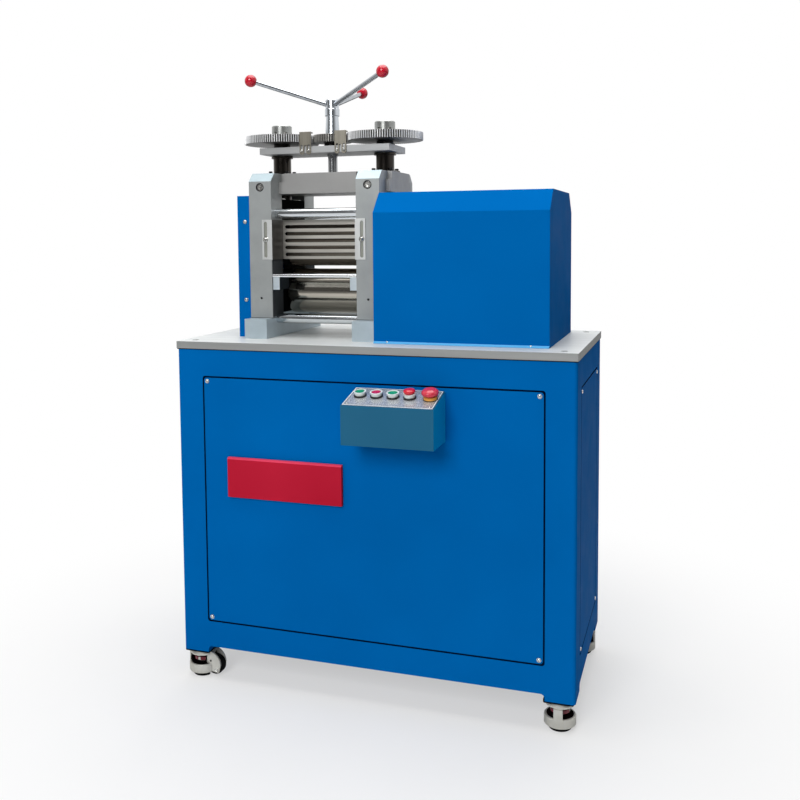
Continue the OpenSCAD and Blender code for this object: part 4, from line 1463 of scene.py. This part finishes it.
    def seam_feet(self) -> None:
        """Draw a dark band of painted shadow in the joint between each column and its foot."""
        shape = Shape("foot_joints")
        height = self.base + self.foot_height
        for housing, y, outward in self.columns():
            spot = Vector((housing.centre.x, y - outward * self.column_depth / 2, height))
            width, depth = (size + 2 * self.joint_proud for size in (housing.size.x, self.column_depth))
            outline = rounded_rectangle(width, depth, self.joint_radius, steps=2)
            shape.slab(outline, self.joint_height, Matrix.Translation(spot), BLACK, edge=0.2)
        shape.build("frame", "left_housing")

    def nose_tables(self) -> None:
        """Put a polished half-round nosing on each feed table's outer edge."""
        shape = Shape("feed_table_nosings")
        span = Span.of("feed_tables")
        inside, above = self.nosing_sink
        x = span.low.x + self.nosing_end
        for y, outward in span.front_and_rear:
            section = []
            for step in range(self.nosing_steps + 1):
                angle = math.pi * (step / self.nosing_steps - 0.5)
                out = outward * (self.nosing_depth * math.cos(angle) - inside)
                up = self.nosing * (math.sin(angle) - 1) + above
                section.append(Vector((x, y + out, span.high.z + up)))
            shape.bar(section, Vector((span.size.x - 2 * self.nosing_end, 0, 0)), NOSING)
        shape.build("frame", "feed_tables")

    def bolt_chocks(self) -> None:
        """Put two hexagon bolts on top of each upper chock."""
        shape = Shape("chock_bolts")
        span = Span.of("upper_chocks")
        top = Vector((span.centre.x, span.centre.y, span.high.z))
        for x, y in corners(span.size.x / 2 - self.chock_bolt_inset, self.chock_bolt_spread):
            CHOCK_BOLT.add(shape, facing(top + Vector((x, y, 0)), (0, 0, 1), twist=10.0))
        shape.build("carriage", "upper_chocks")

    def build(self) -> None:
        """Dress the stand and add its screws and bolts."""
        for node in ("left_housing", "right_housing"):
            self.dress(HOUSING, node)
            # The chamfers get a painted sheen.
            self.dress_where(node, CHAMFER_SHEEN, self.on_chamfer)
            self.dress_where(node, FOOT, self.on_foot)
            # The bores' walls are painted black as painted shade.
            self.dress_where(node, BLACK, self.in_shaded_bore)
        self.dress(BEAM, "crosshead")
        self.dress(ROD, "tie_rods")
        for node in ("front_guard", "rear_guard"):
            self.dress(SHEET, node)
            # The guards' sides are painted darker as painted shade.
            self.dress_where(node, GUARD_SIDE_SHADE, sideways)
            self.dress_where(node, FLANGE_SHEET, self.on_flange)
        self.dress(BRIGHT_SHEET, "feed_tables")
        self.dress(BRACKET, "feed_brackets")
        # The brackets' sides are painted darker as painted shade.
        self.dress_where("feed_brackets", BRACKET_SIDE_SHADE, sideways)
        self.dress(CHOCK, "lower_chocks", "upper_chocks")
        self.dress(ROLL, "lower_roll")
        # The upper roll is drawn darker as painted shade.
        self.dress(UPPER_ROLL_SHADE, "upper_roll")
        self.screw_columns()
        self.shade_columns()
        self.seam_feet()
        self.nose_tables()
        self.screw_guards()
        self.bolt_chocks()


@dataclass
class ScrewDown(Assembly):
    """The pressure screws, their gears and locknuts, the pinion and the bridge bar."""

    boss_height: float = 12.8
    tip_inset: float = 0.6
    tooth_band: Pair = (6.0, 1.3)
    slot_band: Pair = (5.2, 13.0)
    slot_inset: float = 1.5
    flange_bolt: float = 24.0
    clip_width: float = 32.0
    clip_screw_inset: float = 6.4
    clip_screw_height: float = 6.0

    def dress_gear(self, node: str, finish: Finish) -> None:
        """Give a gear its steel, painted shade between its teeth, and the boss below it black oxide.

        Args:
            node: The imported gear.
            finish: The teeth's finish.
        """
        span = Span.of(node)
        boss_top = span.low.z + self.boss_height
        inner, outer = (span.size.y / 2 - self.tip_inset - inset for inset in self.tooth_band)

        def between_teeth(middle: Vector, normal: Vector) -> bool:
            """Pick the upright faces between the teeth, away from their tips."""
            reach = (middle - span.centre).xy.length
            return abs(normal.z) < ACROSS and middle.z > boss_top and inner < reach < outer

        def on_face(middle: Vector, normal: Vector) -> bool:
            """Pick the level faces."""
            return abs(normal.z) > ALONG

        def on_boss(middle: Vector, normal: Vector) -> bool:
            """Pick the boss."""
            return middle.z < boss_top

        self.dress(finish, node)
        self.dress_where(node, GEAR_FACE, on_face)
        # The faces between the teeth are painted dark as painted shade.
        self.dress_where(node, TOOTH_GAP_SHADE, between_teeth)
        self.dress_where(node, OXIDE, on_boss)

    def dress_locknut(self, node: str) -> None:
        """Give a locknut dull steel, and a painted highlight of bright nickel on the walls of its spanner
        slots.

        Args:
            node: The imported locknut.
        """
        span = Span.of(node)
        rim = span.size.x / 2
        low, high = (span.low.z + level for level in self.slot_band)

        def in_slot(middle: Vector, normal: Vector) -> bool:
            """Pick the upright faces between the bore and the rim, at the slots' height.

            Args:
                middle: The face's middle, in millimetres.
                normal: The face's normal.

            Returns:
                Whether the face is picked.
            """
            reach = (middle - span.centre).xy.length
            upright = abs(normal.z) < ACROSS and low < middle.z < high
            return upright and rim / 2 < reach < rim - self.slot_inset

        self.dress(DULL_STEEL, node)
        # The slot walls get bright nickel as a painted highlight.
        self.dress_where(node, NICKEL, in_slot)

    def bolt_flanges(self) -> None:
        """Put four cap screws on each pressure screw's flange."""
        shape = Shape("flange_bolts")
        span = Span.of("screw_flanges")
        half = span.size.y / 2
        for middle in (span.low.x + half, span.high.x - half):
            for x, y in corners(self.flange_bolt, self.flange_bolt):
                spot = Vector((middle + x, span.centre.y + y, span.high.z))
                FLANGE_SCREW.add(shape, facing(spot, (0, 0, 1)))
        shape.build("frame", "screw_flanges")

    def screw_clips(self) -> None:
        """Put a bright screw at the foot of each clip's leg."""
        shape = Shape("clip_screws")
        span = Span.of("gear_clips")
        height = Span.of("bridge_bar").low.z + self.clip_screw_height
        for start in (span.low.x, span.high.x - self.clip_width):
            for leg in (self.clip_screw_inset, self.clip_width - self.clip_screw_inset):
                spot = Vector((start + leg, span.low.y, height))
                CLIP_SCREW.add(shape, facing(spot, (0, -1, 0), twist=25.0))
        shape.build("carriage", "gear_clips")

    def build(self) -> None:
        """Dress the screw-down and add its fasteners."""
        self.dress(OXIDE, "screw_flanges")
        self.dress(BURNISHED, "left_screw", "right_screw")
        self.dress(BAR_STEEL, "bridge_bar")
        self.dress(CLIP, "gear_clips")
        for side in ("left", "right"):
            self.dress_locknut(side + "_locknut")
            self.dress_gear(side + "_screw_gear", GEAR)
        self.dress_gear("pinion", PINION)
        self.bolt_flanges()
        self.screw_clips()


@dataclass
class Handle(Assembly):
    """The three-armed handle with its shaft, sleeve, hub and red knobs."""

    def build(self) -> None:
        """Dress the handle."""
        self.dress(SHAFT, "handle_shaft")
        self.dress(HUB_CHROME, "handle_sleeve", "handle_hub")
        self.dress(CHROME, "handle_arms")
        self.dress(KNOB, "handle_knobs")


@dataclass
class Casters(Assembly):
    """Four levelling casters: cast body, rubber foot, red thumbwheel and black wheel."""

    bearings: dict[str, float] = field(
        default_factory=lambda: {
            "front_left": 0.0,
            "front_right": 90.0,
            "back_right": 180.0,
            "back_left": 270.0,
        }
    )
    pad: float = 10.9
    window: Pair = (33.05, 57.05)
    cavity: float = 32.5
    dial: float = 23.3
    dial_band: Pair = (40.5, 49.5)
    bore: float = 11.0
    well_gap: float = 1.0
    well_depth: float = 0.4
    cheek: float = 17.0
    cheek_skin: float = 0.5
    cheek_square: float = 0.99
    cheek_start: float = 12.3
    recess: float = 6.5
    recess_gap: float = 0.2
    recess_radius: float = 0.8
    recess_depth: float = 0.3
    screw_reach: float = 45.0
    screw_height: float = 16.5
    pin_reach: float = 29.0
    pin_height: float = 40.0
    pin: tuple[Pair, ...] = ((0.0, 0.0), (2.4, 0.0), (2.4, 0.5), (0.0, 0.7))

    def directions_of(self, corner: str) -> tuple[Vector, Vector]:
        """Give a caster's two level directions.

        Args:
            corner: The caster's corner.

        Returns:
            The direction from its swivel axis to its wheel, and that of its axle.
        """
        angle = math.radians(self.bearings[corner])
        trail = Vector((math.cos(angle), math.sin(angle), 0))
        return trail, Vector((-trail.y, trail.x, 0))

    def dress_body(self, corner: str, axis: Vector) -> None:
        """Dress a caster's body: bright casting, painted shade in the window, red thumbwheel and rubber foot.

        Args:
            corner: The caster's corner.
            axis: A point on its swivel axis, in millimetres.
        """
        side = self.directions_of(corner)[1]
        low, high = self.window
        dial_low, dial_high = self.dial_band

        def on_pad(middle: Vector, normal: Vector) -> bool:
            """Pick the rubber foot."""
            return middle.z < self.pad

        def in_window(middle: Vector, normal: Vector) -> bool:
            """Pick the walls inside the window, but not the cheeks' outer faces.

            Args:
                middle: The face's middle, in millimetres.
                normal: The face's normal.

            Returns:
                Whether the face is picked.
            """
            arm = middle - axis
            outermost = abs(arm.dot(side)) > self.cheek - self.cheek_skin
            on_cheek = outermost and abs(normal.dot(side)) > self.cheek_square
            return arm.xy.length < self.cavity and low < middle.z < high and not on_cheek

        def on_dial(middle: Vector, normal: Vector) -> bool:
            """Pick the thumbwheel inside the window."""
            near = (middle - axis).xy.length < self.dial and dial_low < middle.z < dial_high
            return near and in_window(middle, normal)

        body = "caster_" + corner
        self.dress(ALLOY, body)
        self.dress_where(body, RUBBER, on_pad)
        # The window's walls are painted near-black as painted shade.
        self.dress_where(body, CAVITY_SHADE, in_window)
        self.dress_where(body, DIAL, on_dial)
        self.dress(TYRE, "caster_wheel_" + corner)

    def fit_details(self, corner: str, axis: Vector) -> None:
        """Put a dark plate of painted shade as a recess, a screw and a dark pin on each cheek of a caster,
        and a dark disc of painted shade as the well inside its drum.

        Args:
            corner: The caster's corner.
            axis: A point on its swivel axis, in millimetres.
        """
        trail, side = self.directions_of(corner)
        low, high = self.window

        def on_cheek(hand: int, reach: float, height: float) -> Matrix:
            """Give a placement on a cheek, facing out.

            Args:
                hand: 1 for one cheek, -1 for the other.
                reach: Distance from the swivel axis towards the wheel.
                height: Height above the ground.

            Returns:
                The placement.
            """
            spot = axis + trail * reach + side * self.cheek * hand
            spot.z = height
            return facing(spot, side * hand)

        shape = Shape(f"caster_{corner}_details")
        rim, floor = self.cavity - self.well_gap, low + self.well_depth
        well = [(self.bore, low), (rim, low), (rim, floor), (self.bore, floor)]
        shape.turn(well, Matrix.Translation(axis), CAVITY_SHADE, segments=48, closed=True)
        length = high - low - 2 * self.recess_gap
        recess = rounded_rectangle(self.recess, length, self.recess_radius, steps=2)
        for hand in (-1, 1):
            place = on_cheek(hand, self.cheek_start + self.recess / 2, (low + high) / 2)
            shape.slab(recess, self.recess_depth, place, CAVITY_SHADE, edge=0.1)
            CASTER_SCREW.add(shape, on_cheek(hand, self.screw_reach, self.screw_height))
            shape.turn(self.pin, on_cheek(hand, self.pin_reach, self.pin_height), CAVITY_SHADE, segments=16)
        shape.build("caster_" + corner, "caster_" + corner)

    def build(self) -> None:
        """Dress the casters and add their details."""
        self.dress(PLATE_BLACK, "caster_plates")
        for corner in self.bearings:
            foot = next(mount for mount in self.record["mounts"] if mount["name"] == "foot_" + corner)
            axis = Vector(foot["pos_m"]) / MM
            self.dress_body(corner, axis)
            self.fit_details(corner, axis)


# ---------------------------------------------------------------------- studio


@dataclass(frozen=True)
class Softbox:
    """A square lamp. Places and sizes are in metres, and power is in watts."""

    name: str
    place: tuple[float, float, float]
    aim: tuple[float, float, float]
    size: float
    power: float
    glare: bool = True

    def add(self) -> None:
        """Hang the lamp and aim it, with or without its mirror image in bright metal."""
        data = bpy.data.lights.new(self.name, "AREA")
        data.shape = "SQUARE"
        data.size = self.size
        data.energy = self.power
        lamp = bpy.data.objects.new(self.name, data)
        lamp.location = self.place
        lamp.visible_glossy = self.glare
        lamp.rotation_euler = (Vector(self.aim) - Vector(self.place)).to_track_quat("-Z", "Y").to_euler()
        bpy.context.scene.collection.objects.link(lamp)


@dataclass
class Studio:
    """The camera, lamps, world and floor."""

    eye: tuple[float, float, float] = (748.2, -2290.2, 1139.8)
    azimuth: float = 18.43
    pitch: float = 4.2
    roll: float = -0.48
    lens: float = 42.49
    sensor: float = 36.0
    shift: Pair = (0.0199, -0.12)
    far: float = 100.0
    ambient: Pair = (0.335, 0.06)
    ambient_ends: Pair = (0.0, 0.7)
    room: Pair = (0.1, 1.0)
    room_ends: Pair = (-0.9, 0.1)
    floor_size: float = 60.0
    floor_shades: tuple[Colour, Colour] = ((228, 228, 228), (232, 232, 232))
    floor_roughness: float = 0.9
    floor_glow: Pair = (0.5, 1.0)
    shadow_ends: Pair = (0.5, 1.5)
    lamps: tuple[Softbox, ...] = (
        Softbox("key", (-0.4, -4.8, 3.2), (0.0, 0.0, 0.8), size=2.2, power=153.0),
        Softbox("top", (0.0, 0.1, 3.6), (0.0, 0.05, 0.8), size=2.8, power=90.0),
        Softbox("back", (-0.4, 5.2, 2.2), (0.0, 0.0, 0.8), size=2.6, power=74.0, glare=False),
    )

    def add_camera(self) -> None:
        """Make the camera and aim it."""
        data = bpy.data.cameras.new("camera")
        data.lens = self.lens
        data.sensor_width = self.sensor
        data.shift_x, data.shift_y = self.shift
        data.clip_end = self.far
        turn, tilt, roll = (math.radians(angle) for angle in (self.azimuth, self.pitch, self.roll))
        back = Vector((math.sin(turn) * math.cos(tilt), -math.cos(turn) * math.cos(tilt), math.sin(tilt)))
        level = Vector((math.cos(turn), math.sin(turn), 0.0))
        upright = back.cross(level)
        right = level * math.cos(roll) + upright * math.sin(roll)
        up = upright * math.cos(roll) - level * math.sin(roll)
        aim = Matrix((right, up, back)).transposed().to_4x4()
        camera = bpy.data.objects.new("camera", data)
        camera.matrix_world = Matrix.Translation(Vector(self.eye) * MM) @ aim
        bpy.context.scene.collection.objects.link(camera)
        bpy.context.scene.camera = camera

    def add_world(self) -> None:
        """Light the scene, less from the right, and show white to the camera.

        Mirrors see white behind and beside the mill, and a dark room in front of it.
        """
        world = bpy.data.worlds.new("studio")
        bpy.context.scene.world = world
        graph = Graph(world)
        place = graph.node("TexCoord")
        split = graph.node("SeparateXYZ")
        graph.link(place.outputs["Generated"], split.inputs["Vector"])
        even = graph.tree.nodes["Background"]
        even.inputs["Color"].default_value = Graph.WHITE
        graph.link(graph.remap(split.outputs["X"], self.ambient_ends, self.ambient), even.inputs["Strength"])
        room = graph.node("Background", Color=Graph.WHITE)
        fade = graph.remap(split.outputs["Y"], self.room_ends, self.room, smooth=True)
        graph.link(fade, room.inputs["Strength"])
        white = graph.node("Background", Color=Graph.WHITE, Strength=1.0)
        path = graph.node("LightPath")
        mirror = graph.maths("MAXIMUM", path.outputs["Is Glossy Ray"], path.outputs["Is Transmission Ray"])
        seen = graph.mix(mirror, even.outputs["Background"], room.outputs["Background"])
        shown = graph.mix(path.outputs["Is Camera Ray"], seen, white.outputs["Background"])
        graph.link(shown, graph.tree.nodes["World Output"].inputs["Surface"])

    def add_floor(self) -> None:
        """Lay a pale floor that keeps the mill's shadow."""
        graph = Graph(bpy.data.materials.new("floor_white"))
        graph.shade(graph.noise(scale=2.0), *self.floor_shades)
        graph.shader.inputs["Roughness"].default_value = self.floor_roughness
        glow = graph.node("Emission", Color=Graph.WHITE, Strength=1.0)
        place = graph.node("TexCoord")
        reach = graph.node("VectorMath")
        reach.operation = "LENGTH"
        graph.link(place.outputs["Object"], reach.inputs[0])
        fade = graph.remap(reach.outputs["Value"], self.shadow_ends, self.floor_glow, smooth=True)
        path = graph.node("LightPath")
        seen = graph.maths("MULTIPLY", path.outputs["Is Camera Ray"], fade)
        shown = graph.mix(seen, graph.shader.outputs["BSDF"], glow.outputs["Emission"])
        graph.link(shown, graph.tree.nodes["Material Output"].inputs["Surface"])
        bpy.ops.mesh.primitive_plane_add(size=self.floor_size, location=(0, 0, 0))
        floor = bpy.context.object
        floor.name = "floor"
        floor.data.materials.append(graph.owner)

    def build(self) -> None:
        """Set up the whole studio."""
        bpy.context.scene.view_settings.view_transform = "Standard"
        self.add_camera()
        self.add_world()
        self.add_floor()
        for lamp in self.lamps:
            lamp.add()


def main() -> None:
    """Load the frame, build the studio and every sub-assembly."""
    logging.basicConfig(level=logging.INFO, format="%(message)s")
    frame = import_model()
    Studio().build()
    kinds: Iterable[type[Assembly]] = (Cabinet, Covers, ControlStation, RollStand, ScrewDown, Handle, Casters)
    for kind in kinds:
        kind(frame["nodes"], frame["record"]).build()
        LOG.info("built %s", kind.__name__)


if __name__ == "__main__":
    main()
